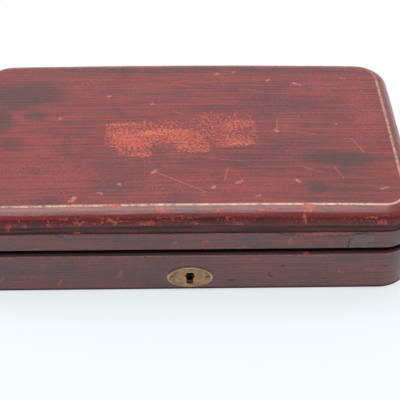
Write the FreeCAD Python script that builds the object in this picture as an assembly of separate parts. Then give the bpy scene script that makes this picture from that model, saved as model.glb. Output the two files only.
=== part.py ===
import FreeCAD, Part
import math
import os

from FreeCAD import Vector

# Leather-covered jewellery case with a hinged lid and a box lock. Millimetres, +Z up, front to -Y.

# Case over the leather
CASE_WIDTH = 236.0
CASE_DEPTH = 142.0
CORNER_RADIUS = 18.5
BASE_HEIGHT = 25.5
RIM_GAP = 2.3
LID_BAND_HEIGHT = 11.0
LID_CROWN_HEIGHT = 14.6
CROWN_ALONG = 1.3
CROWN_ACROSS = 1.2
SHOULDER_RADIUS = 8.0
BULGE_HEIGHT = 4.0
UNDERCUT_RADIUS = 14.0

# Materials and walls
LEATHER = 1.0
LEATHER_EDGE = 0.9
BAND_TOP_EDGE = 0.35
BOTTOM_SKIN = 0.4
BOTTOM_SKIN_INSET = 1.0
BOTTOM_EDGE = 0.8
BASE_WALL = 7.0
LID_WALL = 6.2
BOTTOM_BOARD = 3.5
TOP_BOARD = 6.0
LINING = 1.5
LIP_HEIGHT = 4.5
LIP_ROOM = 2.0
LIP_ROUND = 0.6

# Cushions
PAD_EDGE = 4.5
PAD_CROWN = 2.0
PAD_ROUND = 2.6
PAD_PLAY = 0.3

# Hinges
HINGE_MARGIN = 34.0
HINGE_LENGTH = 36.0
HINGE_INSET = 1.3
LEAF_WIDTH = 5.9
LEAF_THICKNESS = 0.9
KNUCKLES = 5
KNUCKLE_RADIUS = 1.9
KNUCKLE_GAP = 0.3
HINGE_SEAT_PLAY = 0.5
HINGE_PIN_RADIUS = 1.0
HINGE_PIN_PLAY = 0.05
HINGE_SCREW_SPREAD = 24.0
HINGE_SCREW_SETBACK = 3.9

# Screws
SCREW_HEAD_RADIUS = 1.5
SCREW_SHANK_RADIUS = 0.75
SCREW_HEAD_DEPTH = 0.75
SCREW_LENGTH = 6.5
SCREW_SLOT = 0.4
SCREW_SLOT_DEPTH = 0.3

# Lock
LOCK_WIDTH = 38.0
LOCK_FOOT = 1.2
LOCK_SHEET = 0.8
LOCK_CAVITY = 4.0
LOCK_PLAY = 0.1
FACE_PLATE_LENGTH = 52.0
FACE_PLATE_WIDTH = 5.4
FACE_PLATE_THICKNESS = 0.9
FACE_SCREW_SPREAD = 45.0
KEY_RISE = 8.1
KEYHOLE_RADIUS = 2.5
KEYHOLE_SLOT = 3.4
KEYHOLE_LENGTH = 5.5
KEYHOLE_PLAY = 0.4
DRILL_PIN_RADIUS = 0.9
BAR_HEIGHT = 3.4
BAR_PLAY = 0.3
BOLT_THROW = 4.0
TALON_WIDTH = 5.0
TALON_DEPTH = 2.0
GUIDE_HEIGHT = 1.0
GUIDE_LENGTH = 3.5
GUIDE_PLAY = 0.1
SPRING_SPAN = 5.6
SPRING_RISE = 1.6
SPRING_STRIP = 0.4
SPRING_WIDTH = 2.4

# Catch on the lid
CATCH_LENGTH = 42.0
CATCH_WIDTH = 4.4
CATCH_THICKNESS = 0.9
CATCH_SCREW_SPREAD = 34.0
STAPLE_SPACING = 16.0
STAPLE_THICKNESS = 1.6
STAPLE_DROP = 8.2
STAPLE_WALL = 0.8
STAPLE_PLAY = 0.4
EYE_HEIGHT = 3.0
EYE_PLAY = 0.6
NOSE_PLAY = 0.25
NOSE_ROOM = 0.8

# Escutcheon
ESCUTCHEON_WIDTH = 24.0
ESCUTCHEON_HEIGHT = 13.6
ESCUTCHEON_THICKNESS = 0.9
ESCUTCHEON_BEVEL = 0.45
ESCUTCHEON_DROP = 1.4
PIN_SPREAD = 18.6
PIN_HEAD_RADIUS = 1.5
PIN_HEAD_RISE = 0.6
PIN_SHANK_RADIUS = 0.6
PIN_LENGTH = 1.2

# Levels and positions that follow from the sizes above
HALF_X = CASE_WIDTH / 2.0
HALF_Y = CASE_DEPTH / 2.0
LID_RIM = BASE_HEIGHT + RIM_GAP
CREASE = LID_RIM + LID_BAND_HEIGHT
WIDEST = CREASE + BULGE_HEIGHT
APEX = CREASE + LID_CROWN_HEIGHT
CORNER_TOP = APEX - CROWN_ALONG - CROWN_ACROSS
BOARD_LEVEL = CORNER_TOP - TOP_BOARD
BASE_INNER = LEATHER + BASE_WALL
LID_INNER = LEATHER + LID_WALL
FLOOR = BOTTOM_SKIN + BOTTOM_BOARD
AXIS_Y = HALF_Y - HINGE_INSET
AXIS_Z = BASE_HEIGHT + RIM_GAP / 2.0
HINGE_X = HALF_X - HINGE_MARGIN - HINGE_LENGTH / 2.0
LOCK_BACK = -(HALF_Y - BASE_INNER)
CAVITY_BACK = LOCK_BACK - LOCK_SHEET
CAVITY_FRONT = CAVITY_BACK - LOCK_CAVITY
LOCK_FRONT = CAVITY_FRONT - LOCK_SHEET
LOCK_MID = (CAVITY_BACK + CAVITY_FRONT) / 2.0
LOCK_TOP = BASE_HEIGHT
LOCK_BOTTOM = BOTTOM_SKIN + LEATHER + LOCK_FOOT
KEY_Z = LOCK_BOTTOM + KEY_RISE
STAPLE_WIDTH = LOCK_CAVITY - 2.0 * BAR_PLAY
STAPLE_TOP = LID_RIM - CATCH_THICKNESS
STAPLE_LOW = STAPLE_TOP - STAPLE_DROP
EYE_LOW = STAPLE_LOW + STAPLE_WALL
EYE_WIDTH = STAPLE_WIDTH - 2.0 * STAPLE_WALL
BAR_TOP = STAPLE_LOW - BAR_PLAY
BAR_LOW = BAR_TOP - BAR_HEIGHT
ESCUTCHEON_Z = KEY_Z - ESCUTCHEON_DROP

UP = Vector(0, 0, 1)
DOWN = Vector(0, 0, -1)
ALONG = Vector(1, 0, 0)
BACKWARD = Vector(0, 1, 0)
SIDES = {"left": -1.0, "right": 1.0}


def box(x_range, y_range, z_range):
    """Return a box between the given pairs of limits."""
    corner = Vector(x_range[0], y_range[0], z_range[0])
    size = [pair[1] - pair[0] for pair in (x_range, y_range, z_range)]
    return Part.makeBox(size[0], size[1], size[2], corner)


def around(centre, length):
    """Return the pair of limits of a length about a centre."""
    return (centre - length / 2.0, centre + length / 2.0)


def outline(inset, level):
    """Return the case's plan outline, moved inwards, as a wire."""
    radius = CORNER_RADIUS - inset
    centre_x = HALF_X - CORNER_RADIUS
    centre_y = HALF_Y - CORNER_RADIUS
    edges = []
    for index, (sx, sy) in enumerate(((1, 1), (-1, 1), (-1, -1), (1, -1))):
        centre = Vector(sx * centre_x, sy * centre_y, level)
        edges.append(Part.makeCircle(radius, centre, UP, 90.0 * index, 90.0 * index + 90.0))
    for index in range(4):
        start = edges[index].Vertexes[-1].Point
        end = edges[(index + 1) % 4].Vertexes[0].Point
        edges.append(Part.makeLine(start, end))
    return Part.Wire(Part.__sortEdges__(edges))


def slab(inset, low, high):
    """Return the case's plan outline, moved inwards, extruded between two levels."""
    return Part.Face(outline(inset, low)).extrude(Vector(0, 0, high - low))


def ring(outer_inset, inner_inset, low, high):
    """Return a wall that follows the case's outline."""
    return slab(outer_inset, low, high).cut(slab(inner_inset, low, high))


def level_edges(solid, level, inset):
    """Return the edges at one level that lie on the outline with the given inset."""
    found = []
    for edge in solid.Edges:
        bounds = edge.BoundBox
        flat = bounds.ZLength < 0.01 and abs(bounds.ZMin - level) < 0.01
        reach = max(bounds.XMax, -bounds.XMin) / (HALF_X - inset)
        depth = max(bounds.YMax, -bounds.YMin) / (HALF_Y - inset)
        if flat and abs(max(reach, depth) - 1.0) < 0.0001:
            found.append(edge)
    return found


def crown(inset):
    """Return a solid under the crowned top, moved inwards, wide enough for the case."""
    radius_x = (HALF_X ** 2 + CROWN_ALONG ** 2) / (2.0 * CROWN_ALONG)
    radius_y = (HALF_Y ** 2 + CROWN_ACROSS ** 2) / (2.0 * CROWN_ACROSS)
    top = APEX - inset
    reach = HALF_X + CORNER_RADIUS
    sag = (radius_x - inset) - math.sqrt((radius_x - inset) ** 2 - reach ** 2)
    floor = LID_RIM - CASE_DEPTH
    left = Vector(-reach, 0, top - sag)
    right = Vector(reach, 0, top - sag)
    arc = Part.Arc(left, Vector(0, 0, top), right).toShape()
    corners = [right, Vector(reach, 0, floor), Vector(-reach, 0, floor), left]
    face = Part.Face(Part.Wire([arc] + Part.makePolygon(corners).Edges))
    axis = Vector(0, 0, APEX - radius_y)
    swing = math.degrees(math.asin(CASE_DEPTH / radius_y))
    face.rotate(axis, ALONG, -swing)
    return face.revolve(axis, ALONG, 2.0 * swing)


def lid_form(inset):
    """Return the bullnosed, crowned top of the lid above the crease, moved inwards."""
    low = WIDEST - UNDERCUT_RADIUS + inset
    body = slab(inset, low, APEX + CROWN_ALONG).common(crown(inset))
    body = body.Solids[0]
    rim = [edge for edge in body.Edges if edge.BoundBox.ZMin > WIDEST and edge.BoundBox.ZLength < BULGE_HEIGHT]
    body = body.makeFillet(SHOULDER_RADIUS - inset, rim)
    body = body.makeFillet(UNDERCUT_RADIUS - inset, level_edges(body, low, inset))
    return body.common(slab(-LEATHER, CREASE, APEX + CROWN_ALONG)).Solids[0]


def screw(position, direction):
    """Return a countersunk wood screw whose head is flush at the given point."""
    tip = SCREW_LENGTH - SCREW_SHANK_RADIUS
    points = [
        Vector(0, 0, 0),
        Vector(SCREW_HEAD_RADIUS, 0, 0),
        Vector(SCREW_SHANK_RADIUS, 0, SCREW_HEAD_DEPTH),
        Vector(SCREW_SHANK_RADIUS, 0, tip),
        Vector(0, 0, SCREW_LENGTH),
        Vector(0, 0, 0),
    ]
    body = Part.Face(Part.makePolygon(points)).revolve(Vector(), UP, 360.0)
    if direction.z < 0:
        body.rotate(Vector(), ALONG, 180.0)
    body.translate(position)
    return body


def slotted(body, position, direction):
    """Return a screw with the driver's slot cut in its head."""
    level = position.z + direction.z * SCREW_SLOT_DEPTH
    levels = (min(level, position.z), max(level, position.z))
    length = 2.0 * SCREW_HEAD_RADIUS
    cutter = box(around(position.x, length), around(position.y, SCREW_SLOT), levels)
    return body.cut(cutter).Solids[0]


def hinge_screw_points(level):
    """Return the head centres of the screws of both hinges at one level."""
    points = []
    for side in SIDES.values():
        for end in (-1.0, 1.0):
            x = side * HINGE_X + end * HINGE_SCREW_SPREAD / 2.0
            points.append(Vector(x, AXIS_Y - HINGE_SCREW_SETBACK, level))
    return points


def spread_points(spread, y, level):
    """Return two points set apart along X."""
    return [Vector(end * spread / 2.0, y, level) for end in (-1.0, 1.0)]


BASE_LEAF_TOP = BASE_HEIGHT + LEAF_THICKNESS
LID_LEAF_LOW = LID_RIM - LEAF_THICKNESS
FACE_PLATE_TOP = BASE_HEIGHT + FACE_PLATE_THICKNESS
HINGE_BASE_POINTS = hinge_screw_points(BASE_LEAF_TOP)
HINGE_LID_POINTS = hinge_screw_points(LID_LEAF_LOW)
LOCK_POINTS = spread_points(FACE_SCREW_SPREAD, LOCK_MID, FACE_PLATE_TOP)
CATCH_POINTS = spread_points(CATCH_SCREW_SPREAD, LOCK_MID, STAPLE_TOP)


def screw_blanks(points, direction):
    """Return screws without slots, which also serve to cut their holes."""
    return [screw(point, direction) for point in points]


def screw_set(points, direction):
    """Return a set of slotted screws."""
    return [slotted(screw(point, direction), point, direction) for point in points]


def hinge_seats():
    """Return the grooves that give both hinge barrels room in the case's back edges."""
    length = HINGE_LENGTH + 2.0 * KNUCKLE_GAP
    seats = []
    for side in SIDES.values():
        start = Vector(side * HINGE_X - length / 2.0, AXIS_Y, AXIS_Z)
        seats.append(Part.makeCylinder(KNUCKLE_RADIUS + HINGE_SEAT_PLAY, length, start, ALONG))
    return seats


def keyhole(play, front, back):
    """Return a cutter for the keyhole between two depths."""
    radius = KEYHOLE_RADIUS + play
    bulb = Part.makeCylinder(radius, back - front, Vector(0, front, KEY_Z), BACKWARD)
    foot = KEY_Z - KEYHOLE_LENGTH - play
    slot = box(around(0.0, KEYHOLE_SLOT + 2.0 * play), (front, back), (foot, KEY_Z))
    return bulb.fuse(slot).removeSplitter()


def lock_pocket(top):
    """Return the cutter for the pocket that holds the lock in the front wall."""
    width = around(0.0, LOCK_WIDTH + 2.0 * LOCK_PLAY)
    return box(width, (LOCK_FRONT - LOCK_PLAY, LOCK_BACK), (LOCK_BOTTOM - LOCK_PLAY, top))


def base_cuts():
    """Return everything that is cut from the base's wood and side leather."""
    cuts = hinge_seats()
    cuts += screw_blanks(HINGE_BASE_POINTS, DOWN)
    cuts += screw_blanks(LOCK_POINTS, DOWN)
    cuts.append(lock_pocket(LOCK_TOP))
    cuts.append(keyhole(KEYHOLE_PLAY, -HALF_Y, LOCK_BACK))
    cuts += [pin.Solids[0] for pin in escutcheon_pins()]
    return cuts


def lid_cuts():
    """Return everything that is cut from the lid's wood and band leather."""
    cuts = hinge_seats()
    cuts += screw_blanks(HINGE_LID_POINTS, UP)
    cuts += screw_blanks(CATCH_POINTS, UP)
    return cuts


def base_frame():
    """Wooden walls of the base."""
    walls = ring(LEATHER, BASE_INNER, BOTTOM_SKIN + LEATHER, BASE_HEIGHT - LEATHER)
    return walls.cut(base_cuts())


def base_bottom_board():
    """Board that closes the base between its walls."""
    return slab(BASE_INNER, BOTTOM_SKIN, FLOOR)


def base_side_leather():
    """Leather round the base, turned in over the rim and under the bottom."""
    skin = slab(0.0, BOTTOM_SKIN, BASE_HEIGHT)
    skin = skin.makeFillet(LEATHER_EDGE, level_edges(skin, BASE_HEIGHT, 0.0))
    skin = skin.makeFillet(BOTTOM_EDGE, level_edges(skin, BOTTOM_SKIN, 0.0))
    skin = skin.cut(slab(LEATHER, BOTTOM_SKIN + LEATHER, BASE_HEIGHT - LEATHER))
    skin = skin.cut(slab(BASE_INNER, BOTTOM_SKIN, BASE_HEIGHT))
    return skin.cut(base_cuts())


def base_bottom_leather():
    """Leather panel that the case stands on."""
    return slab(BOTTOM_SKIN_INSET, 0.0, BOTTOM_SKIN)


def base_lining():
    """Covered lining of the base's walls, standing above the rim as a rounded lip."""
    top = BASE_HEIGHT + LIP_HEIGHT
    wall = ring(BASE_INNER, BASE_INNER + LINING, FLOOR, top).Solids[0]
    edges = level_edges(wall, top, BASE_INNER) + level_edges(wall, top, BASE_INNER + LINING)
    return wall.makeFillet(LIP_ROUND, edges)


def cushion(inset, level, direction):
    """Return a crowned cushion with rounded edges, lying on a level and rising one way."""
    top = level + PAD_EDGE
    body = slab(inset, level, top)
    body = body.makeFillet(PAD_ROUND, level_edges(body, top, inset))
    half = HALF_Y - inset - PAD_ROUND
    dome = (half ** 2 + PAD_CROWN ** 2) / (2.0 * PAD_CROWN)
    reach = 2.0 * (HALF_X - HALF_Y)
    profile = [Vector(0, -half, top), Vector(0, 0, top + PAD_CROWN), Vector(0, half, top)]
    arc = Part.Arc(profile[0], profile[1], profile[2]).toShape()
    face = Part.Face(Part.Wire([arc, Part.makeLine(profile[2], profile[0])]))
    ridge = face.extrude(Vector(reach, 0, 0))
    ridge.translate(Vector(-reach / 2.0, 0, 0))
    ends = []
    for side in (-1.0, 1.0):
        end = Part.Face(Part.Wire([
            Part.Arc(profile[1], Vector(0, half * 0.6, top + dome_height(half * 0.6, dome)), profile[2]).toShape(),
            Part.makeLine(profile[2], Vector(0, 0, top)),
            Part.makeLine(Vector(0, 0, top), profile[1]),
        ])).revolve(Vector(0, 0, top), UP, 180.0 * side)
        end.translate(Vector(side * -reach / 2.0, 0, 0))
        ends.append(end)
    body = body.fuse([ridge] + ends).removeSplitter()
    if direction.z < 0:
        body.rotate(Vector(0, 0, level), ALONG, 180.0)
    return body


def dome_height(offset, radius):
    """Return the height of a dome of one radius at an offset from its middle."""
    return PAD_CROWN - radius + math.sqrt(radius ** 2 - offset ** 2)


def base_floor_pad():
    """Velvet cushion on the base's floor."""
    return cushion(BASE_INNER + LINING + PAD_PLAY, FLOOR, UP)


def lid_carcass():
    """Return the lid's wood before it is hollowed."""
    rim = slab(LEATHER, LID_RIM + LEATHER, CREASE)
    return rim.fuse(lid_form(LEATHER)).removeSplitter()


def lid_frame():
    """Wooden walls of the lid."""
    block = lid_carcass().common(slab(0.0, LID_RIM, BOARD_LEVEL))
    return block.cut([slab(LID_INNER, LID_RIM, BOARD_LEVEL)] + lid_cuts())


def lid_top_board():
    """Rounded and crowned board on top of the lid's walls."""
    return lid_carcass().common(slab(0.0, BOARD_LEVEL, APEX))


def lid_top_leather():
    """Leather over the crowned top and its shoulder, down to the crease."""
    return lid_form(0.0).cut(lid_form(LEATHER))


def lid_band_leather():
    """Leather band round the lid's rim, turned in under it."""
    skin = slab(0.0, LID_RIM, CREASE)
    skin = skin.makeFillet(LEATHER_EDGE, level_edges(skin, LID_RIM, 0.0))
    skin = skin.makeFillet(BAND_TOP_EDGE, level_edges(skin, CREASE, 0.0))
    skin = skin.cut(slab(LEATHER, LID_RIM + LEATHER, CREASE))
    skin = skin.cut(slab(LID_INNER, LID_RIM, CREASE))
    return skin.cut(lid_cuts())


def lid_lining():
    """Covered lining of the lid's walls above the space for the base's lip."""
    low = BASE_HEIGHT + LIP_HEIGHT + LIP_ROOM
    return ring(LID_INNER, LID_INNER + LINING, low, BOARD_LEVEL)


def lid_pad():
    """Padded silk panel inside the lid."""
    return cushion(LID_INNER + LINING + PAD_PLAY, BOARD_LEVEL, DOWN)


def knuckle_zones(side):
    """Return the start of every knuckle of one hinge and their common length."""
    length = HINGE_LENGTH / KNUCKLES
    start = side * HINGE_X - HINGE_LENGTH / 2.0
    return [start + index * length for index in range(KNUCKLES)], length


def barrel(radius, start, length):
    """Return a cylinder on the hinge axis."""
    return Part.makeCylinder(radius, length, Vector(start, AXIS_Y, AXIS_Z), ALONG)


def hinge_leaf(side, parity, levels, bore, holes):
    """Return one leaf of a hinge with its own knuckles and room for the other leaf's."""
    starts, length = knuckle_zones(side)
    plate = box((starts[0], starts[0] + HINGE_LENGTH), (AXIS_Y - LEAF_WIDTH, AXIS_Y), levels)
    own = [barrel(KNUCKLE_RADIUS, starts[index], length) for index in range(parity, KNUCKLES, 2)]
    other = []
    for index in range(1 - parity, KNUCKLES, 2):
        first = starts[index] - KNUCKLE_GAP / 2.0
        other.append(barrel(KNUCKLE_RADIUS + HINGE_SEAT_PLAY, first, length + KNUCKLE_GAP))
    body = plate.fuse(own).cut(other)
    return body.cut([barrel(bore, starts[0], HINGE_LENGTH)] + holes).removeSplitter()


def hinge_base_leaf(side):
    """Leaf screwed to the base's rim."""
    holes = screw_blanks(HINGE_BASE_POINTS, DOWN)
    return hinge_leaf(side, 0, (BASE_HEIGHT, BASE_LEAF_TOP), HINGE_PIN_RADIUS, holes)


def hinge_lid_leaf(side):
    """Leaf screwed to the lid's rim."""
    holes = screw_blanks(HINGE_LID_POINTS, UP)
    return hinge_leaf(side, 1, (LID_LEAF_LOW, LID_RIM), HINGE_PIN_RADIUS + HINGE_PIN_PLAY, holes)


def hinge_pin(side):
    """Pin of one hinge, tight in the base's leaf."""
    return barrel(HINGE_PIN_RADIUS, knuckle_zones(side)[0][0], HINGE_LENGTH)


def bolt_guides():
    """Return the ledges that carry the bolt's bar inside the lock."""
    top = BAR_LOW - GUIDE_PLAY
    left = -STAPLE_SPACING / 2.0 - GUIDE_LENGTH
    right = STAPLE_SPACING / 2.0
    levels = (top - GUIDE_HEIGHT, top)
    depths = (CAVITY_FRONT, CAVITY_BACK)
    return [box((start, start + GUIDE_LENGTH), depths, levels) for start in (left, right)]


def lock_case():
    """Open box of the lock with its front sheet, keyhole, guides and spring stud."""
    half = LOCK_WIDTH / 2.0
    body = box((-half, half), (LOCK_FRONT, CAVITY_BACK), (LOCK_BOTTOM, LOCK_TOP))
    inner = half - LOCK_SHEET
    body = body.cut(box((-inner, inner), (CAVITY_FRONT, CAVITY_BACK), (LOCK_BOTTOM + LOCK_SHEET, LOCK_TOP)))
    stud_radius = SPRING_STRIP * 2.0
    stud_z = BAR_TOP + GUIDE_PLAY + SPRING_RISE + SPRING_STRIP + stud_radius
    stud_base = Vector(SPRING_X, CAVITY_FRONT, stud_z)
    stud = Part.makeCylinder(stud_radius, LOCK_CAVITY, stud_base, BACKWARD)
    body = body.fuse(bolt_guides() + [stud]).removeSplitter()
    return body.cut(keyhole(0.0, LOCK_FRONT, CAVITY_FRONT))


def lock_cap():
    """Sheet that closes the lock towards the inside of the case."""
    half = LOCK_WIDTH / 2.0
    sheet = box((-half, half), (CAVITY_BACK, LOCK_BACK), (LOCK_BOTTOM, LOCK_TOP))
    return sheet.cut(lock_drill_pin())


def lock_face_plate():
    """Plate on the rim that carries the lock, with slots for the staples."""
    depths = around(LOCK_MID, FACE_PLATE_WIDTH)
    plate = box(around(0.0, FACE_PLATE_LENGTH), depths, (BASE_HEIGHT, FACE_PLATE_TOP))
    slots = []
    for side in SIDES.values():
        width = around(side * STAPLE_SPACING / 2.0, STAPLE_THICKNESS + 2.0 * STAPLE_PLAY)
        depth = around(LOCK_MID, STAPLE_WIDTH + 2.0 * STAPLE_PLAY)
        slots.append(box(width, depth, (BASE_HEIGHT, FACE_PLATE_TOP)))
    return plate.cut(slots + screw_blanks(LOCK_POINTS, DOWN))


def lock_drill_pin():
    """Pin that carries a pipe key, riveted in the lock's cap."""
    return Part.makeCylinder(DRILL_PIN_RADIUS, LOCK_BACK - LOCK_FRONT, Vector(0, LOCK_FRONT, KEY_Z), BACKWARD)


# Horizontal layout of the bolt in its withdrawn position
NOSE_LENGTH = BOLT_THROW
POST_WIDTH = 2.0
NOSE_TIP = STAPLE_SPACING / 2.0 - STAPLE_THICKNESS / 2.0 - NOSE_ROOM
POST_RIGHT = NOSE_TIP - NOSE_LENGTH
BAR_START = POST_RIGHT - POST_WIDTH - STAPLE_SPACING
BAR_END = STAPLE_SPACING / 2.0 + GUIDE_LENGTH / 2.0
SPRING_X = (-STAPLE_SPACING / 2.0 + STAPLE_THICKNESS / 2.0 + POST_RIGHT - POST_WIDTH) / 2.0


def lock_bolt():
    """Sliding bolt, withdrawn: a bar with two noses and the notch that the key drives."""
    depth = around(LOCK_MID, STAPLE_WIDTH)
    thin = around(LOCK_MID, EYE_WIDTH - 2.0 * NOSE_PLAY)
    nose_low = EYE_LOW + EYE_PLAY
    nose_high = EYE_LOW + EYE_HEIGHT - EYE_PLAY
    pieces = []
    for shift in (0.0, -STAPLE_SPACING):
        post = (POST_RIGHT - POST_WIDTH + shift, POST_RIGHT + shift)
        pieces.append(box(post, depth, (BAR_TOP, nose_high)))
        pieces.append(box((post[1], NOSE_TIP + shift), thin, (nose_low, nose_high)))
    bar = box((BAR_START, BAR_END), depth, (BAR_LOW, BAR_TOP))
    bolt = bar.fuse(pieces).removeSplitter()
    talon = box(around(-BOLT_THROW / 2.0, TALON_WIDTH), depth, (BAR_LOW, BAR_LOW + TALON_DEPTH))
    return bolt.cut(talon)


def lock_spring():
    """Bow spring that steadies the bolt's bar."""
    foot = BAR_TOP + GUIDE_PLAY
    half = SPRING_SPAN / 2.0
    wires = []
    for lift in (0.0, SPRING_STRIP):
        ends = [Vector(SPRING_X + end * half, 0, foot + lift) for end in (-1.0, 1.0)]
        crest = Vector(SPRING_X, 0, foot + SPRING_RISE + lift)
        wires.append((Part.Arc(ends[0], crest, ends[1]).toShape(), ends))
    sides = [Part.makeLine(wires[0][1][index], wires[1][1][index]) for index in (0, 1)]
    face = Part.Face(Part.Wire([wires[0][0], sides[1], wires[1][0], sides[0]]))
    face.translate(Vector(0, LOCK_MID - SPRING_WIDTH / 2.0, 0))
    return face.extrude(Vector(0, SPRING_WIDTH, 0))


def lid_catch():
    """Plate on the lid's rim with two staples that drop into the lock."""
    plate = box(around(0.0, CATCH_LENGTH), around(LOCK_MID, CATCH_WIDTH), (STAPLE_TOP, LID_RIM))
    staples = []
    eyes = []
    for side in SIDES.values():
        width = around(side * STAPLE_SPACING / 2.0, STAPLE_THICKNESS)
        staples.append(box(width, around(LOCK_MID, STAPLE_WIDTH), (STAPLE_LOW, STAPLE_TOP)))
        eyes.append(box(width, around(LOCK_MID, EYE_WIDTH), (EYE_LOW, EYE_LOW + EYE_HEIGHT)))
    body = plate.fuse(staples).removeSplitter()
    return body.cut(eyes + screw_blanks(CATCH_POINTS, UP))


def escutcheon():
    """Oval keyhole plate with a bevelled edge."""
    front = -HALF_Y - ESCUTCHEON_THICKNESS
    curve = Part.Ellipse(Vector(0, 0, 0), ESCUTCHEON_WIDTH / 2.0, ESCUTCHEON_HEIGHT / 2.0).toShape()
    plate = Part.Face(Part.Wire([curve])).extrude(Vector(0, 0, ESCUTCHEON_THICKNESS))
    plate.rotate(Vector(), ALONG, 90.0)
    plate.translate(Vector(0, -HALF_Y, ESCUTCHEON_Z))
    rim = [edge for edge in plate.Edges if abs(edge.BoundBox.YMax - front) < 0.01]
    plate = plate.makeChamfer(ESCUTCHEON_BEVEL, rim)
    holes = [keyhole(0.0, front, -HALF_Y)]
    holes += [pin.Solids[0] for pin in escutcheon_pins()]
    return plate.cut(holes)


def escutcheon_pins():
    """Two domed pins that hold the escutcheon."""
    front = -HALF_Y - ESCUTCHEON_THICKNESS
    sphere = (PIN_HEAD_RADIUS ** 2 + PIN_HEAD_RISE ** 2) / (2.0 * PIN_HEAD_RISE)
    shank = ESCUTCHEON_THICKNESS + LEATHER + PIN_LENGTH
    half_angle = math.asin(PIN_HEAD_RADIUS / sphere) / 2.0
    middle = Vector(sphere * math.sin(half_angle), 0, sphere * (math.cos(half_angle) - 1.0) + PIN_HEAD_RISE)
    dome = Part.Arc(Vector(0, 0, PIN_HEAD_RISE), middle, Vector(PIN_HEAD_RADIUS, 0, 0)).toShape()
    points = [
        Vector(PIN_HEAD_RADIUS, 0, 0),
        Vector(PIN_SHANK_RADIUS, 0, 0),
        Vector(PIN_SHANK_RADIUS, 0, -shank),
        Vector(0, 0, -shank),
        Vector(0, 0, PIN_HEAD_RISE),
    ]
    profile = Part.Face(Part.Wire([dome] + Part.makePolygon(points).Edges))
    pins = []
    for point in spread_points(PIN_SPREAD, front, ESCUTCHEON_Z):
        pin = profile.revolve(Vector(), UP, 360.0)
        pin.rotate(Vector(), ALONG, 90.0)
        pin.translate(point)
        pins.append(pin)
    return pins


def build_nodes():
    """Return every node of the case as a list of shapes under its name."""
    nodes = {
        "base_frame": [base_frame()],
        "base_bottom_board": [base_bottom_board()],
        "base_side_leather": [base_side_leather()],
        "base_bottom_leather": [base_bottom_leather()],
        "base_lining": [base_lining()],
        "base_floor_pad": [base_floor_pad()],
        "lid_frame": [lid_frame()],
        "lid_top_board": [lid_top_board()],
        "lid_top_leather": [lid_top_leather()],
        "lid_band_leather": [lid_band_leather()],
        "lid_lining": [lid_lining()],
        "lid_pad": [lid_pad()],
        "lid_catch": [lid_catch()],
        "lid_catch_screws": screw_set(CATCH_POINTS, UP),
        "lock_case": [lock_case()],
        "lock_cap": [lock_cap()],
        "lock_face_plate": [lock_face_plate()],
        "lock_drill_pin": [lock_drill_pin()],
        "lock_spring": [lock_spring()],
        "lock_bolt": [lock_bolt()],
        "lock_screws": screw_set(LOCK_POINTS, DOWN),
        "escutcheon": [escutcheon()],
        "escutcheon_pins": escutcheon_pins(),
        "hinge_base_screws": screw_set(HINGE_BASE_POINTS, DOWN),
        "hinge_lid_screws": screw_set(HINGE_LID_POINTS, UP),
    }
    for name, side in SIDES.items():
        nodes["hinge_base_leaf_" + name] = [hinge_base_leaf(side)]
        nodes["hinge_lid_leaf_" + name] = [hinge_lid_leaf(side)]
        nodes["hinge_pin_" + name] = [hinge_pin(side)]
    return nodes


def main():
    """Build every node and write it to its own file."""
    os.makedirs("parts", exist_ok=True)
    for name, shapes in build_nodes().items():
        solids = [solid for shape in shapes for solid in shape.Solids]
        body = solids[0] if len(solids) == 1 else Part.makeCompound(solids)
        print(name, len(solids), body.isValid(), round(body.Volume, 2))
        body.exportStep("parts/" + name + ".step")


main()
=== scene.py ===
import logging
import math
from dataclasses import dataclass
from enum import Enum
from typing import Any, Iterable, Optional, Sequence

import bmesh
import bpy
from mathutils import Matrix, Vector, noise


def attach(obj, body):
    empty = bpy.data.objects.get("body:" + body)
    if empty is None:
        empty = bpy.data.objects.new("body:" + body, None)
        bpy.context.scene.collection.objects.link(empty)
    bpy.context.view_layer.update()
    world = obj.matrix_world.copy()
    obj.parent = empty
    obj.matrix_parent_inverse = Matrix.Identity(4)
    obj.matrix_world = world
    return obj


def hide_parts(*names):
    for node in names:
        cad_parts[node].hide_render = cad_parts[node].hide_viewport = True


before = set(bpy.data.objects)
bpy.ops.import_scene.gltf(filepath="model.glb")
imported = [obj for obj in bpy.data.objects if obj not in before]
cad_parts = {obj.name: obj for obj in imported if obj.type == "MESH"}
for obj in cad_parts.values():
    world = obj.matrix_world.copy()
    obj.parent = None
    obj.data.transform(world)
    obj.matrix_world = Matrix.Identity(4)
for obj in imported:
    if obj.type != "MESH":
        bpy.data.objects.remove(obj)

LOG = logging.getLogger("jewellery_case")
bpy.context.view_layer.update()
MM = 0.001
PER_METRE = 1000.0
IMAGE_SIZE = 400.0
SENSOR = 36.0
# Distance of the front wall from the middle of the case, in millimetres
FRONT = 71.0
# Half width below which a scar counts as a scratch, in millimetres
SCRATCH_WIDTH = 0.4
# Points this near to a cutting plane are taken as on it, in millimetres
CUT_REACH = 0.02

Triple = tuple[float, float, float]
Colour = Triple
Layer = tuple[str, float, float, float, Colour]
ScarRow = tuple[float, float, float, float, float]
Socket = bpy.types.NodeSocket


def rgba(colour: Colour) -> tuple[float, float, float, float]:
    """Return a colour with full alpha."""
    return (colour[0], colour[1], colour[2], 1.0)


def smooth(low: float, high: float, value: float) -> float:
    """Return a smooth step of a value between two limits.

    Args:
        low: value that gives 0.
        high: value that gives 1.
        value: the value to place.

    Returns:
        A number from 0 to 1.
    """
    share = min(1.0, max(0.0, (value - low) / (high - low)))
    return share * share * (3.0 - 2.0 * share)


class Body(Enum):
    """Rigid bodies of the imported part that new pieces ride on."""

    BASE = "base"
    LID = "lid"


class MarkKind(Enum):
    """Kinds of wear on the lid's leather."""

    BARE = "bare"
    STAIN = "stain"
    RUB = "rub"


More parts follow.
